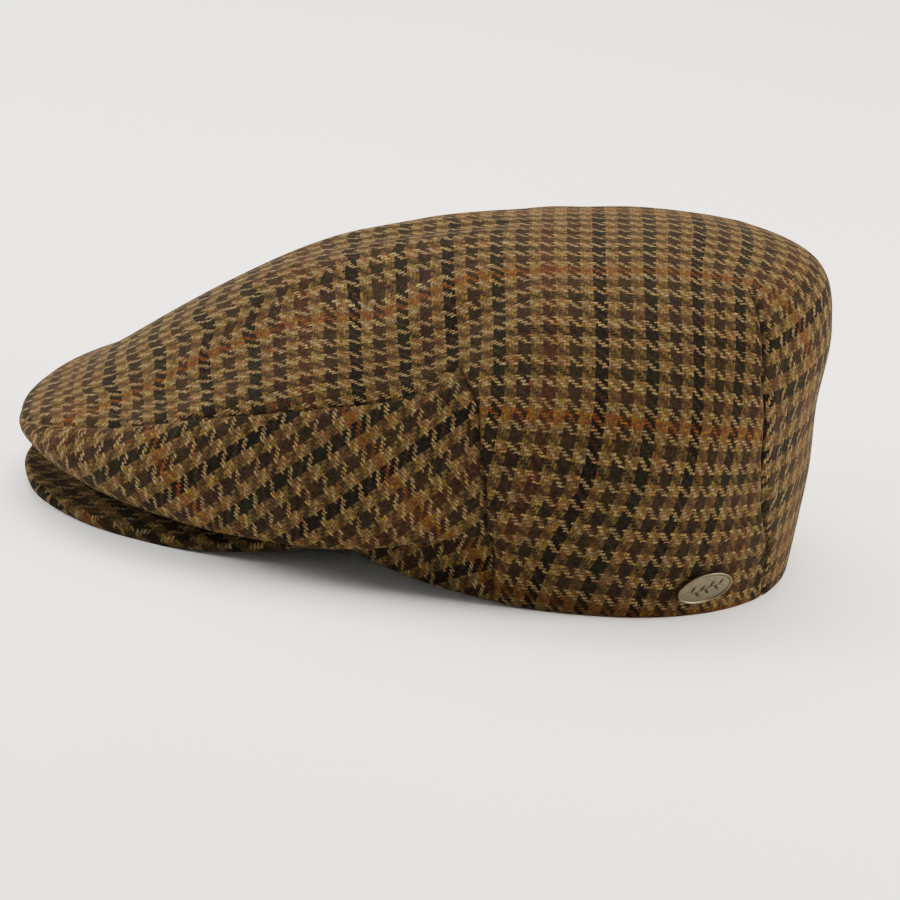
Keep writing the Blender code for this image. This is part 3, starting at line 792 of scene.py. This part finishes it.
@dataclass
class SewnCloth:
    """The crown and the front band: patches of one skin, laid out flat for their weave and given a wall."""

    skin: Skin = field(default_factory=Skin)
    rise_count: int = 72            # rows from the hem to the band's upper edge
    top_count: int = 48             # rows from there to the top
    band_count: int = 144           # columns round the front
    side_count: int = 72            # columns from a side seam to a dart
    back_count: int = 48            # columns between the darts
    closeness: tuple[float, float, float] = (0.72, 0.62, 0.55)      # of rows, top rows and columns
    every: int = 6                  # fine steps to each step of the flat layout
    seam_depths: tuple[float, float, float] = (0.0005, 0.0008, 0.0009)      # band's edge, side seam and dart
    edge_painted_shade: float = 0.4         # how dark the painted shade along the band's edge seam is
    seam_round: float = 0.0009      # radius of the cloth's edges at a seam
    seam_open: float = 0.35         # share of that rounding which shows outside
    seam_at_hem: float = 0.3        # share of its relief that a seam keeps at the hem
    seam_fade: float = 0.007        # distance from the hem over which it loses the rest
    lump: float = 0.00022           # height of the small unevenness of the cloth
    lump_waves: tuple[float, ...] = (0.0113, 0.017, 0.0137, 0.023)          # its wave lengths over 2 pi
    lump_fade: float = 0.012        # distance from the hem over which it sets in
    hem_round: float = 0.46 * WALL  # radius of the hem's edge
    rest: tuple[float, float, float] = (50.0, 75.0, 0.5)    # the hem rests from there on, up to that level
    hem_turn: float = 0.022         # how far the hem is turned up inside
    hem_extra: float = 0.0007       # what the turned-up cloth adds to the wall
    crown_offset: tuple[float, float] = (0.1007, 0.08895)
    band_offset: tuple[float, float] = (0.0895, 0.07255)
    pull_blend: float = 0.01        # how near the middle line a pull outward changes sides
    pulls: tuple[Pull, ...] = (
        Pull(-0.082, 0.055, 0.024, 0.026, 0.0, -0.012),
        Pull(0.0, 0.175, 0.120, 0.045, 0.0, -0.008),
        Pull(-0.015, 0.165, 0.060, 0.040, 0.010, 0.0),
        Pull(0.075, 0.0, 0.035, 0.400, 0.008, 0.0),
        Pull(0.045, 0.095, 0.030, 0.050, 0.003, 0.0),
        Pull(-0.092, 0.010, 0.030, 0.060, -0.0045, 0.0),
    )

    def seams(self) -> list[Seam]:
        """Return the sewn lines: the band's upper edge, the two side seams and the two darts."""
        skin = self.skin
        at_edge, at_side, at_dart = self.seam_depths
        share = np.linspace(-1.0, 1.0, 121)
        low = np.linspace(0.0, skin.meeting[1], 41)
        dart = np.linspace(0.0, skin.dart_end, 41)
        lines = [Seam(skin.smooth_point(share * skin.meeting[0], skin.band_top(share)), at_edge,
                      painted_shade=self.edge_painted_shade)]
        for sign in (-1.0, 1.0):
            lines.append(Seam(skin.smooth_point(sign * skin.side_angle(low), low), at_side))
            lines.append(Seam(skin.smooth_point(sign * skin.dart_angle(dart), dart), at_dart))
        return lines

    def grids(self) -> dict[str, list[Patch]]:
        """Return the patches of the two pieces of cloth as grids of angles and levels.

        Returns:
            Patches by piece name. Neighbours share their edges point for point.
        """
        skin = self.skin
        meeting, top = skin.meeting[1], skin.top_level
        for_rows, for_top, for_columns = self.closeness
        rise = close_at_ends(self.rise_count, for_rows)[:, None]
        over = close_at_start(self.top_count, for_top)[:, None]
        share = 2.0 * close_at_ends(self.band_count, for_columns)[None, :] - 1.0
        edge = skin.band_top(share)
        band = Patch(share * skin.side_angle(rise * edge), rise * edge)
        level = edge + over * (top - edge)
        front = Patch(share * skin.side_angle(level), level)
        height = np.concatenate([rise * meeting, (meeting + over * (top - meeting))[1:]])
        side, dart = skin.side_angle(height), skin.dart_angle(height)
        across = close_at_ends(self.side_count, for_rows)[None, :]
        behind = close_at_ends(self.back_count, for_columns)[None, :]
        left = Patch(side + (dart - side) * across, height + 0.0 * across, 1)
        back = Patch(dart + (360.0 - 2.0 * dart) * behind, height + 0.0 * behind, 2)
        right = Patch(360.0 - dart + (dart - side) * across, height + 0.0 * across, 3)
        return {"band": [band], "crown": [front, left, back, right]}

    def inward(self, angle: Array, level: Array) -> Array:
        """Return the way into the cloth: the mean of the normals round a level, shorter where they differ.

        Where the hem rests on the table it keeps flat, so that the cloth stands upright there.
        """
        skin = self.skin
        spread = ((-0.6, 0.12), (-0.3, 0.24), (0.0, 0.28), (0.3, 0.24), (0.6, 0.12))
        way = -sum(weight * skin.normal(angle, np.clip(level + offset, 0.0, skin.top_level))
                   for offset, weight in spread)
        size = np.linalg.norm(way, axis=-1, keepdims=True)
        start, full, top = self.rest
        behind = np.clip((skin.one_side(angle) - start) / (full - start), 0.0, 1.0)
        way[..., 2] *= 1.0 - behind * np.clip(1.0 - level / top, 0.0, 1.0)
        return unit(way) * np.minimum(size, 1.0)

    def shape(self, patch: Patch, lines: list[Seam]) -> None:
        """Work out a patch's outer and inner face.

        The outer face is the smooth skin moved along its normal by the folds and the seams. The inner face
        is one wall further in. At the hem both faces curve in to meet in a half circle.

        Args:
            patch: The patch, which gets its points and the painted shade along its seams.
            lines: The sewn lines.
        """
        skin = self.skin
        angle, level = patch.angle, patch.level
        base, normal = skin.smooth_point(angle, level), skin.normal(angle, level)
        hem_line = skin.smooth_point(np.linspace(0.0, 360.0, 181), np.zeros(181))
        from_hem = Seam(hem_line, sink=0.0).distance(base)
        gaps = [(line, line.distance(base)) for line in lines]
        rise = np.max([line.rise(gap) for line, gap in gaps], axis=0)
        dip = np.max([line.dip(gap) for line, gap in gaps], axis=0)
        open_edge = self.seam_open * rounded(self.seam_round, np.min([gap for _, gap in gaps], axis=0))
        kept = self.seam_at_hem + (1.0 - self.seam_at_hem) * smooth_step(0.0, self.seam_fade, from_hem)
        sewn = (rise - dip) * kept - open_edge
        a, b, c, d = self.lump_waves
        lumps = (self.lump * np.sin(base[..., 0] / a + 2.0 * np.sin(base[..., 2] / b))
                 * np.sin(base[..., 1] / c + 1.7 + 2.0 * np.sin(base[..., 0] / d)))
        lift = skin.fold_lift(angle, level) + lumps * smooth_step(0.0, self.lump_fade, from_hem)
        surface = base + normal * lift[..., None]
        inward = self.inward(angle, level)
        hem = rounded(self.hem_round, from_hem)
        turned_up = (smooth_step(0.0, 0.003, from_hem)
                     - smooth_step(self.hem_turn, self.hem_turn + 0.0012, from_hem))
        patch.outer = surface + normal * sewn[..., None] + inward * hem[..., None]
        patch.inner = surface + inward * (WALL + self.hem_extra * turned_up - hem)[..., None]
        # The cloth lies on the table and doesn't sink in.
        for face in (patch.outer, patch.inner):
            face[..., 2] = np.maximum(face[..., 2], 0.0)
        # Painted shade along the grooves of the seams, by which the material darkens the cloth.
        patch.seam_painted_shade = np.max([line.painted_shade_at(gap) for line, gap in gaps], axis=0)

    def lay_flat(self, patches: list[Patch], start: list[Array], offset: tuple[float, float],
                 pulls: tuple[Pull, ...] = ()) -> None:
        """Give patches their flat cloth coordinates, with each dart cut open and the grain along the cap.

        Args:
            patches: Patches of one piece of cloth.
            start: First guess of the flat points of each patch.
            offset: Where the weave's count starts, in metres.
            pulls: Bell-shaped moves of the weave in the cloth.
        """
        every, skin = self.every, self.skin
        keys, triangles, sizes = [], [], []
        count = 0
        for patch in patches:
            points = patch.outer[::every, ::every]
            at_dart = np.abs(skin.one_side(patch.angle) - skin.dart_angle(patch.level)) < 1e-6
            cut = np.where(at_dart & (patch.level < skin.dart_end), patch.cut_side, 0)[::every, ::every]
            key = np.concatenate([np.round(points * 1e6), cut[..., None] * 1e6], axis=-1)
            keys.append(key.reshape(-1, 4))
            quads = patch.quads(every) + count
            triangles += [quads[:, [0, 1, 2]], quads[:, [0, 2, 3]]]
            sizes.append(points.shape[:2])
            count += cut.size
        _, first, group = np.unique(np.concatenate(keys), axis=0, return_index=True, return_inverse=True)
        group = group.ravel()
        corners = group[np.concatenate(triangles)]
        whole = np.all(corners != np.roll(corners, -1, axis=1), axis=1)
        points = np.concatenate([patch.outer[::every, ::every].reshape(-1, 3) for patch in patches])[first]
        guess = np.concatenate([flat[::every, ::every].reshape(-1, 2) for flat in start])[first]
        flat = flatten(points, corners[whole], guess)
        flat = flat - flat.mean(axis=0)
        lean = flat.T @ (points - points.mean(axis=0))[:, :2]
        flat = swing(flat, math.atan2(lean[0, 1] - lean[1, 0], lean[0, 0] + lean[1, 1]))
        side = np.tanh(flat[:, 1] / self.pull_blend)
        moves = np.zeros_like(flat)
        for pull in pulls:
            weight = bell((flat[:, 0] - pull.along) / pull.along_span,
                          (np.abs(flat[:, 1]) - pull.out) / pull.out_span)
            moves += np.stack([weight * pull.move_along, weight * pull.move_out * side], axis=-1)
        flat = (flat + moves + np.array(offset))[group]
        count = 0
        for patch, (rows, columns) in zip(patches, sizes):
            patch.flat = refine(flat[count:count + rows * columns].reshape(rows, columns, 2), every)
            count += rows * columns

    def crown_guess(self, patch: Patch) -> Array:
        """Return a first flat layout of a crown patch: its arc length from the top, in the same direction."""
        reach = run_along(patch.outer[::-1])[::-1]
        turn = np.radians(patch.angle)
        return np.stack([-reach * np.cos(turn), -reach * np.sin(turn)], axis=-1)

    def band_guess(self, patch: Patch) -> Array:
        """Return a first flat layout of the band: its run from the front, and its rise from the hem."""
        run = run_along(patch.outer[len(patch.outer) // 2])
        rise = run_along(patch.outer)
        return np.stack([run - run[-1] / 2.0 + 0.0 * rise, rise], axis=-1)

    def close(self, name: str, patches: list[Patch], material: bpy.types.Material) -> bpy.types.Object:
        """Join patches into one closed wall.

        Args:
            name: Name of the piece.
            patches: Patches with their points and flat coordinates.
            material: Its finish.

        Returns:
            The object: outer face, inner face and the narrow rims between them.
        """
        outer = np.concatenate([patch.outer.reshape(-1, 3) for patch in patches])
        inner = np.concatenate([patch.inner.reshape(-1, 3) for patch in patches])
        painted_shade = np.concatenate([patch.seam_painted_shade.ravel() for patch in patches])
        flat = np.concatenate([patch.flat.reshape(-1, 2) for patch in patches])
        starts = np.cumsum([0] + [patch.angle.size for patch in patches[:-1]])
        quads = np.concatenate([patch.quads() + start for patch, start in zip(patches, starts)])
        _, first, group = np.unique(np.round(outer * 1e7), axis=0, return_index=True, return_inverse=True)
        group = group.ravel()
        count = len(first)
        tip = group[quads[:, 2]] == group[quads[:, 3]]
        whole, tips = quads[~tip], quads[tip][:, :3]
        # An edge that no neighbour runs along the other way is on the rim.
        edges = np.concatenate([part[:, [i, (i + 1) % part.shape[1]]] for part in (whole, tips)
                                for i in range(part.shape[1])])
        start, end = group[edges].astype(np.int64).T
        rim = edges[~np.isin(start * count + end, end * count + start)]
        start, end = group[rim].T
        faces = [face for part in (group[whole], group[tips],
                                   group[whole][:, ::-1] + count, group[tips][:, ::-1] + count,
                                   np.stack([end, start, start + count, end + count], axis=-1))
                 for face in part.tolist()]
        corner_uv = np.concatenate([flat[part].reshape(-1, 2) for part in
                                    (whole, tips, whole[:, ::-1], tips[:, ::-1], rim[:, [1, 0, 0, 1]])])
        points = np.concatenate([outer[first], inner[first]])
        # The seam mark carries the painted shade of the seams, on the outer face only.
        seam = np.concatenate([painted_shade[first], 0.0 * painted_shade[first]])
        return make_object(name, points, faces, material, corner_uv, {"seam": seam})

    def build(self, tweed: bpy.types.Material) -> dict[str, bpy.types.Object]:
        """Build the crown and the band.

        Args:
            tweed: Their finish.

        Returns:
            The two objects by the name of the node that each stands for.
        """
        grids, lines = self.grids(), self.seams()
        for patches in grids.values():
            for patch in patches:
                self.shape(patch, lines)
        self.lay_flat(grids["crown"], [self.crown_guess(patch) for patch in grids["crown"]],
                      self.crown_offset, self.pulls)
        self.lay_flat(grids["band"], [self.band_guess(patch) for patch in grids["band"]], self.band_offset)
        return {"crown": self.close("crown_cloth", grids["crown"], tweed),
                "front_band": self.close("front_band_cloth", grids["band"], tweed)}


@dataclass
class Peak:
    """The stiff peak: a curved board with cloth drawn over its edge and joined underneath."""

    skin: Skin = field(default_factory=Skin)
    reach: float = 0.1815           # from the middle of the head to the front of the peak
    thick: float = 0.0045
    end_thick: float = 0.0034
    tip_lift: float = 0.003         # how high the front stands over the table
    inset: float = 0.0022           # how far it goes in under the hem
    clearance: float = 0.0005       # between it and the hem
    flat_rows: int = 15             # rows above, and as many underneath
    edge_rows: int = 13
    columns: int = 176
    edge_bulge: float = 0.8         # how round the edge is, where 1 is a half circle
    proud: float = 0.0002           # how far the cover stands out along the edge
    proud_span: float = 0.08        # over what share of the section
    wrap: float = 0.008             # from the middle of the edge to the join underneath
    places: tuple[float, ...] = (0.0, 8.4, 16.0, 24.0, 33.0, 41.0, 45.5)        # angles from the front
    reaches: tuple[float, ...] = (1.000, 0.984, 0.914, 0.798, 0.668, 0.568, 0.544)
    lifts: tuple[float, ...] = (1.00, 0.73, 0.20, 0.00, 1.15, 2.60, 2.90)
    grain_turn: float = -35.0       # the cover's grain runs slantwise, degrees

    def build(self, tweed: bpy.types.Material) -> bpy.types.Object:
        """Build the peak: at each angle a closed section, flat above and below with a round outer edge.

        Args:
            tweed: Its finish.

        Returns:
            The object.
        """
        last = self.places[-1]
        angle = np.linspace(-last, last, self.columns + 1)
        size = np.abs(angle)
        reach = self.reach * soft_curve(self.places, self.reaches, size)
        low = self.tip_lift * soft_curve(self.places, self.lifts, size)
        thick = self.thick + (self.end_thick - self.thick) * (size / last) ** 4
        hem = self.skin.rail_point(self.skin.rails[0], angle)
        root, root_top = np.hypot(hem[:, 0], hem[:, 1]) - self.inset, hem[:, 2] - self.clearance
        low = np.minimum(low, root_top - thick)
        half = thick / 2.0
        bulge = self.edge_bulge * half
        share = np.linspace(0.0, 1.0, self.flat_rows)[:, None]
        turn = np.linspace(0.0, math.pi, self.edge_rows)[1:-1, None]
        flat_part = root + (reach - bulge - root) * share
        radius = np.concatenate([flat_part, reach - bulge + bulge * np.sin(turn), flat_part[::-1]])
        height = np.concatenate([root_top + (low + thick - root_top) * share,
                                 low + half + half * np.cos(turn),
                                 root_top - thick + (low - root_top + thick) * share[::-1]])
        # The cover is drawn tight over the board, a little proud along its edge.
        radius = radius + self.proud * bell(np.linspace(-1.0, 1.0, len(radius))[:, None] / self.proud_span)
        way = np.stack([-np.cos(np.radians(angle)), -np.sin(np.radians(angle))], axis=-1)
        points = np.concatenate([radius[..., None] * way, height[..., None]], axis=-1)
        points[..., 0] += self.skin.middle
        run = run_along(np.stack([radius, height], axis=-1))
        join = run[len(radius) // 2] + self.wrap
        run = np.where(run > join, 2.0 * join - run, run)
        flat = swing((root + run)[..., None] * way, math.radians(self.grain_turn)).reshape(-1, 2)
        quads = grid_faces(*radius.shape, ring=0)
        index = np.arange(radius.size).reshape(radius.shape)
        caps = [index[:, 0].tolist(), index[::-1, -1].tolist()]
        corner_uv = np.concatenate([flat[quads].reshape(-1, 2)] + [flat[cap] for cap in caps])
        # The peak has no seams, so it gets no painted seam shade.
        return make_object("peak_cloth", points.reshape(-1, 3), quads.tolist() + caps, tweed, corner_uv,
                           {"seam": np.zeros(radius.size)})


@dataclass
class Badge:
    """The oval badge: a plate with a raised rim and a slightly domed field with an engraved sprig."""

    skin: Skin = field(default_factory=Skin)
    length: float = 0.021
    height: float = 0.0112
    thick: float = 0.0013
    edge: float = 0.0003            # radius of its outer edges
    back_inset: float = 0.004       # how far in its flat back is closed
    rim: float = 0.0009             # width of the rim
    rim_flat: float = 0.55          # share of it before it slopes down
    dish: float = 0.0003            # how much lower the field starts
    dome: float = 0.8               # share of that which it gains again toward the middle
    angle: float = 123.5
    level: float = 0.5
    turn: float = 7.0
    stand_off: float = 0.0006
    rings: int = 56
    segments: int = 160
    cut: float = 0.00010            # depth of the engraving
    cut_fade: float = 0.0006        # over what distance from the rim it sets in
    soft: tuple[float, float] = (0.00012, -0.00004)     # how far outside its outline it starts and is full
    corner: float = 0.00022         # width of the dark line in the corner at the rim
    groove: tuple[float, float, float] = (0.00035, 0.00009, 0.00005)    # place, width and depth of a line
    bend: tuple[float, float] = (0.0006, 0.0021)        # height of the stem's wave, and length over 2 pi
    stem: tuple[float, float, float] = (0.00016, 0.0088, 0.0074)    # half width, where it tapers out, end
    leaf: tuple[float, float, float] = (0.0028, 0.00052, 48.0)      # length, half width and lean in degrees
    forks: tuple[float, float] = (-0.0058, 0.0018)      # place of the first leaf, and distance to the next

    def place(self) -> Matrix:
        """Return the matrix at the badge's place: +Z out of the cloth and +X along its length."""
        skin = self.skin

        def surface(angle: float) -> Vector:
            """Return a point of the skin with its folds."""
            spot, level = np.array(angle), np.array(self.level)
            lift = skin.fold_lift(spot, level)
            return Vector(skin.smooth_point(spot, level) + skin.normal(spot, level) * lift)

        out = Vector(skin.normal(np.array(self.angle), np.array(self.level)))
        rearward = (surface(self.angle + 0.5) - surface(self.angle - 0.5)).normalized()
        up = out.cross(rearward).normalized()
        rearward = up.cross(out).normalized()
        axes = Matrix((rearward, up, out)).transposed().to_4x4()
        turn = Matrix.Rotation(math.radians(self.turn), 4, "Z")
        return Matrix.Translation(surface(self.angle)) @ axes @ turn

    def sprig(self, x: Array, y: Array) -> Array:
        """Return how deep the engraving is, 0 to 1: a bent stem with leaves on alternate sides.

        Args:
            x: Places along the badge.
            y: Places up the badge.

        Returns:
            Soft-edged depth of the stem y = h sin(x / w) and of the leaves, which are pointed ovals.
        """
        high, wave = self.bend
        thin, taper, end = self.stem
        length, wide, lean = self.leaf
        line = thin * (1.0 - (x / taper) ** 2)
        depth = smooth_step(*self.soft, np.abs(y - high * np.sin(x / wave)) - line) * (np.abs(x) < end)
        for i in range(7):
            start = self.forks[0] + self.forks[1] * i
            base = high * math.sin(start / wave)
            c, s = math.cos(math.radians(lean)), math.sin(math.radians(lean)) * (-1.0) ** i
            along = (x - start) * c + (y - base) * s
            beside = (y - base) * c - (x - start) * s
            leaf = np.abs(beside) - wide * np.sin(math.pi * np.clip(along / length, 0.0, 1.0)) ** 0.8
            depth = np.maximum(depth, smooth_step(*self.soft, leaf) * (along > 0.0002) * (along < length))
        return depth

    def build(self, nickel: bpy.types.Material) -> bpy.types.Object:
        """Build the badge: ovals from the back edge, round the rim and in to the middle of the field.

        Args:
            nickel: Its finish.

        Returns:
            The object.
        """
        edge, half = self.edge, self.height / 2.0
        low = self.thick - self.dish
        corner = np.linspace(0.0, math.pi / 2.0, 6)
        slope = np.linspace(0.0, 1.0, 7)[1:]
        inner = np.linspace(self.rim, half, self.rings)[1:]
        share = (inner - self.rim) / (half - self.rim)
        # How far in each oval lies and how high: the back, the side, the edge, the rim's slope and the field.
        inset = np.concatenate([[self.back_inset, edge], edge - edge * np.sin(corner),
                                edge - edge * np.cos(corner),
                                self.rim * (self.rim_flat + (1.0 - self.rim_flat) * slope), inner])[:, None]
        tall = np.concatenate([np.zeros(2), edge - edge * np.cos(corner),
                               self.thick - edge + edge * np.sin(corner),
                               self.thick - self.dish * slope * slope * (3.0 - 2.0 * slope),
                               low + self.dish * self.dome * share * (2.0 - share)])[:, None]
        # The ovals close to a short line in the middle.
        turn = np.linspace(0.0, 2.0 * math.pi, self.segments, endpoint=False)
        x = np.cos(turn) * (self.length / 2.0 - inset)
        y = np.sin(turn) * (half - inset)
        front = tall > self.thick * 0.5
        on_field = (inset >= self.rim) & front
        from_rim = inset - self.rim
        scroll = self.sprig(x, y) * on_field * smooth_step(0.0, self.cut_fade, from_rim)
        at, wide, deep = self.groove
        z = tall - self.cut * scroll - deep * bell((from_rim - at) / wide) * on_field
        ink = np.clip(0.95 * scroll + 0.65 * bell(from_rim / self.corner) * front, 0.0, 1.0)
        points = np.stack([x, y, z], axis=-1).reshape(-1, 3)
        place = self.place() @ Matrix.Translation((0.0, 0.0, self.stand_off))
        points = points @ np.array(place.to_3x3()).T + np.array(place.translation)
        index = np.arange(x.size).reshape(x.shape)
        faces = grid_faces(*x.shape, ring=1).tolist() + [index[0, ::-1].tolist(), index[-1].tolist()]
        return make_object("badge_plate", points, faces, nickel, marks={"ink": ink.ravel()}, sharp=50.0)


@dataclass(frozen=True)
class Light:
    """One square soft light."""

    name: str
    place: tuple[float, float, float]
    size: float                     # side in metres
    power: float                    # watts
    colour: str = "#FFFDF8"
    aim: tuple[float, float, float] = (0.0, 0.0, 0.05)

    def build(self) -> None:
        """Hang the light in the scene."""
        data = bpy.data.lights.new(self.name, "AREA")
        data.size = self.size
        data.energy = self.power
        data.color = linear(self.colour)[:3]
        item = bpy.data.objects.new(self.name, data)
        item.location = self.place
        item.rotation_euler = (Vector(self.aim) - Vector(self.place)).to_track_quat("-Z", "Y").to_euler()
        bpy.context.scene.collection.objects.link(item)


@dataclass
class Studio:
    """Paper sweep, soft lights and the camera."""

    target: tuple[float, float, float] = (-0.0013, 0.0, 0.050)
    distance: float = 1.5
    elevation: float = 18.0
    roll: float = 6.2
    lens: float = 177.5
    shift: tuple[float, float] = (0.0338, -0.0859)
    flat_reach: float = 6.0         # how far the sweep lies flat
    curve: float = 2.5              # radius of its curve up
    room: float = 0.015             # strength of the pale surroundings
    softboxes: tuple[Light, ...] = (
        Light("top_softbox", (-0.1, 0.15, 1.4), 1.4, 34.0, "#FFF5E9"),
        Light("high_back_softbox", (-0.1, 0.75, 1.3), 1.2, 40.0, "#FFF5E9"),
        Light("rear_softbox", (1.1, -0.1, 0.6), 0.6, 26.0, "#FFF6EA"),
        Light("peak_softbox", (-1.2, -0.1, 0.6), 0.6, 24.0),
        Light("low_softbox", (-1.1, -0.9, 0.35), 0.5, 2.5),
    )
    backdrops: tuple[tuple[str, float, float, float], ...] = (      # side, its direction and power
        ("far", 0.0, 1.0, 450.0),
        ("near", 0.0, -1.0, 150.0),
        ("rear", 1.0, 0.0, 300.0),
        ("front", -1.0, 0.0, 400.0),
    )

    def floor(self) -> bpy.types.Object:
        """Return the sweep: a flat round sheet that curves up far from the cap, z = r (1 - cos) there."""
        climb = np.linspace(0.0, math.pi / 2.0, 13)[1:]
        reach = np.concatenate([np.linspace(0.5, self.flat_reach, 12),
                                self.flat_reach + self.curve * np.sin(climb)])[:, None]
        rise = np.concatenate([np.zeros(12), self.curve * (1.0 - np.cos(climb))])[:, None]
        turn = np.linspace(0.0, 2.0 * math.pi, 96, endpoint=False)
        points = np.stack([reach * np.cos(turn), reach * np.sin(turn), rise + 0.0 * turn], axis=-1)
        quads = grid_faces(*points.shape[:2], ring=1)[:, [0, 3, 2, 1]]
        faces = [list(range(len(turn)))] + quads.tolist()
        return make_object("paper_sweep", points.reshape(-1, 3), faces, PaperSweep().build())

    def camera(self) -> bpy.types.Object:
        """Add the camera at the photograph's angle to the cap, rolled as the cap is turned on its floor."""
        data = bpy.data.cameras.new("camera")
        data.lens = self.lens
        data.sensor_width = 36.0
        data.sensor_fit = "HORIZONTAL"
        data.shift_x, data.shift_y = self.shift
        data.clip_end = 60.0
        item = bpy.data.objects.new("camera", data)
        tilt = math.radians(self.elevation)
        away = Vector((0.0, -math.cos(tilt), math.sin(tilt)))
        aim = (-away).to_track_quat("-Z", "Y").to_matrix().to_4x4()
        item.matrix_world = (Matrix.Translation(Vector(self.target) + away * self.distance) @ aim
                             @ Matrix.Rotation(math.radians(self.roll), 4, "Z"))
        bpy.context.scene.collection.objects.link(item)
        bpy.context.scene.camera = item
        return item

    def build(self) -> None:
        """Set up the sweep, the lights, the pale surroundings and the camera."""
        self.floor()
        world = bpy.data.worlds.new("pale room")
        world.use_nodes = True
        background = world.node_tree.nodes["Background"]
        background.inputs["Color"].default_value = linear("#FFFFFF")
        background.inputs["Strength"].default_value = self.room
        bpy.context.scene.world = world
        for light in self.softboxes:
            light.build()
        for side, x, y, power in self.backdrops:
            Light(side + "_backdrop_light", (2.2 * x, 2.2 * y, 2.2), 2.5, power,
                  aim=(6.0 * x, 6.0 * y, 0.8)).build()
        self.camera()


def dress(piece: bpy.types.Object, node: str) -> None:
    """Tie a piece to the frame: it rides on the root and stands for a node, whose solid is hidden."""
    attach(piece, "root")
    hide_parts(node)
    log.info("%s stands for %s, %d faces", piece.name, node, len(piece.data.polygons))


def main() -> None:
    """Build the cap piece by piece, and then its studio."""
    logging.basicConfig(level=logging.INFO, format="%(message)s")
    tweed = GunClubTweed("wool tweed").build()
    # The peak wears a copy of the same tweed with painted shade, 0.92 as bright.
    shaded_peak_tweed = GunClubTweed("wool tweed on the peak", painted_shade=0.92).build()
    for node, piece in SewnCloth().build(tweed).items():
        dress(piece, node)
    dress(Peak().build(shaded_peak_tweed), "peak")
    dress(Badge().build(SatinNickel().build()), "badge")
    pin = DrawnSteel().build()
    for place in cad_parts["badge_post"].material_slots:
        place.material = pin
    log.info("badge_post keeps its solid")
    Studio().build()


if __name__ == "__main__":
    main()
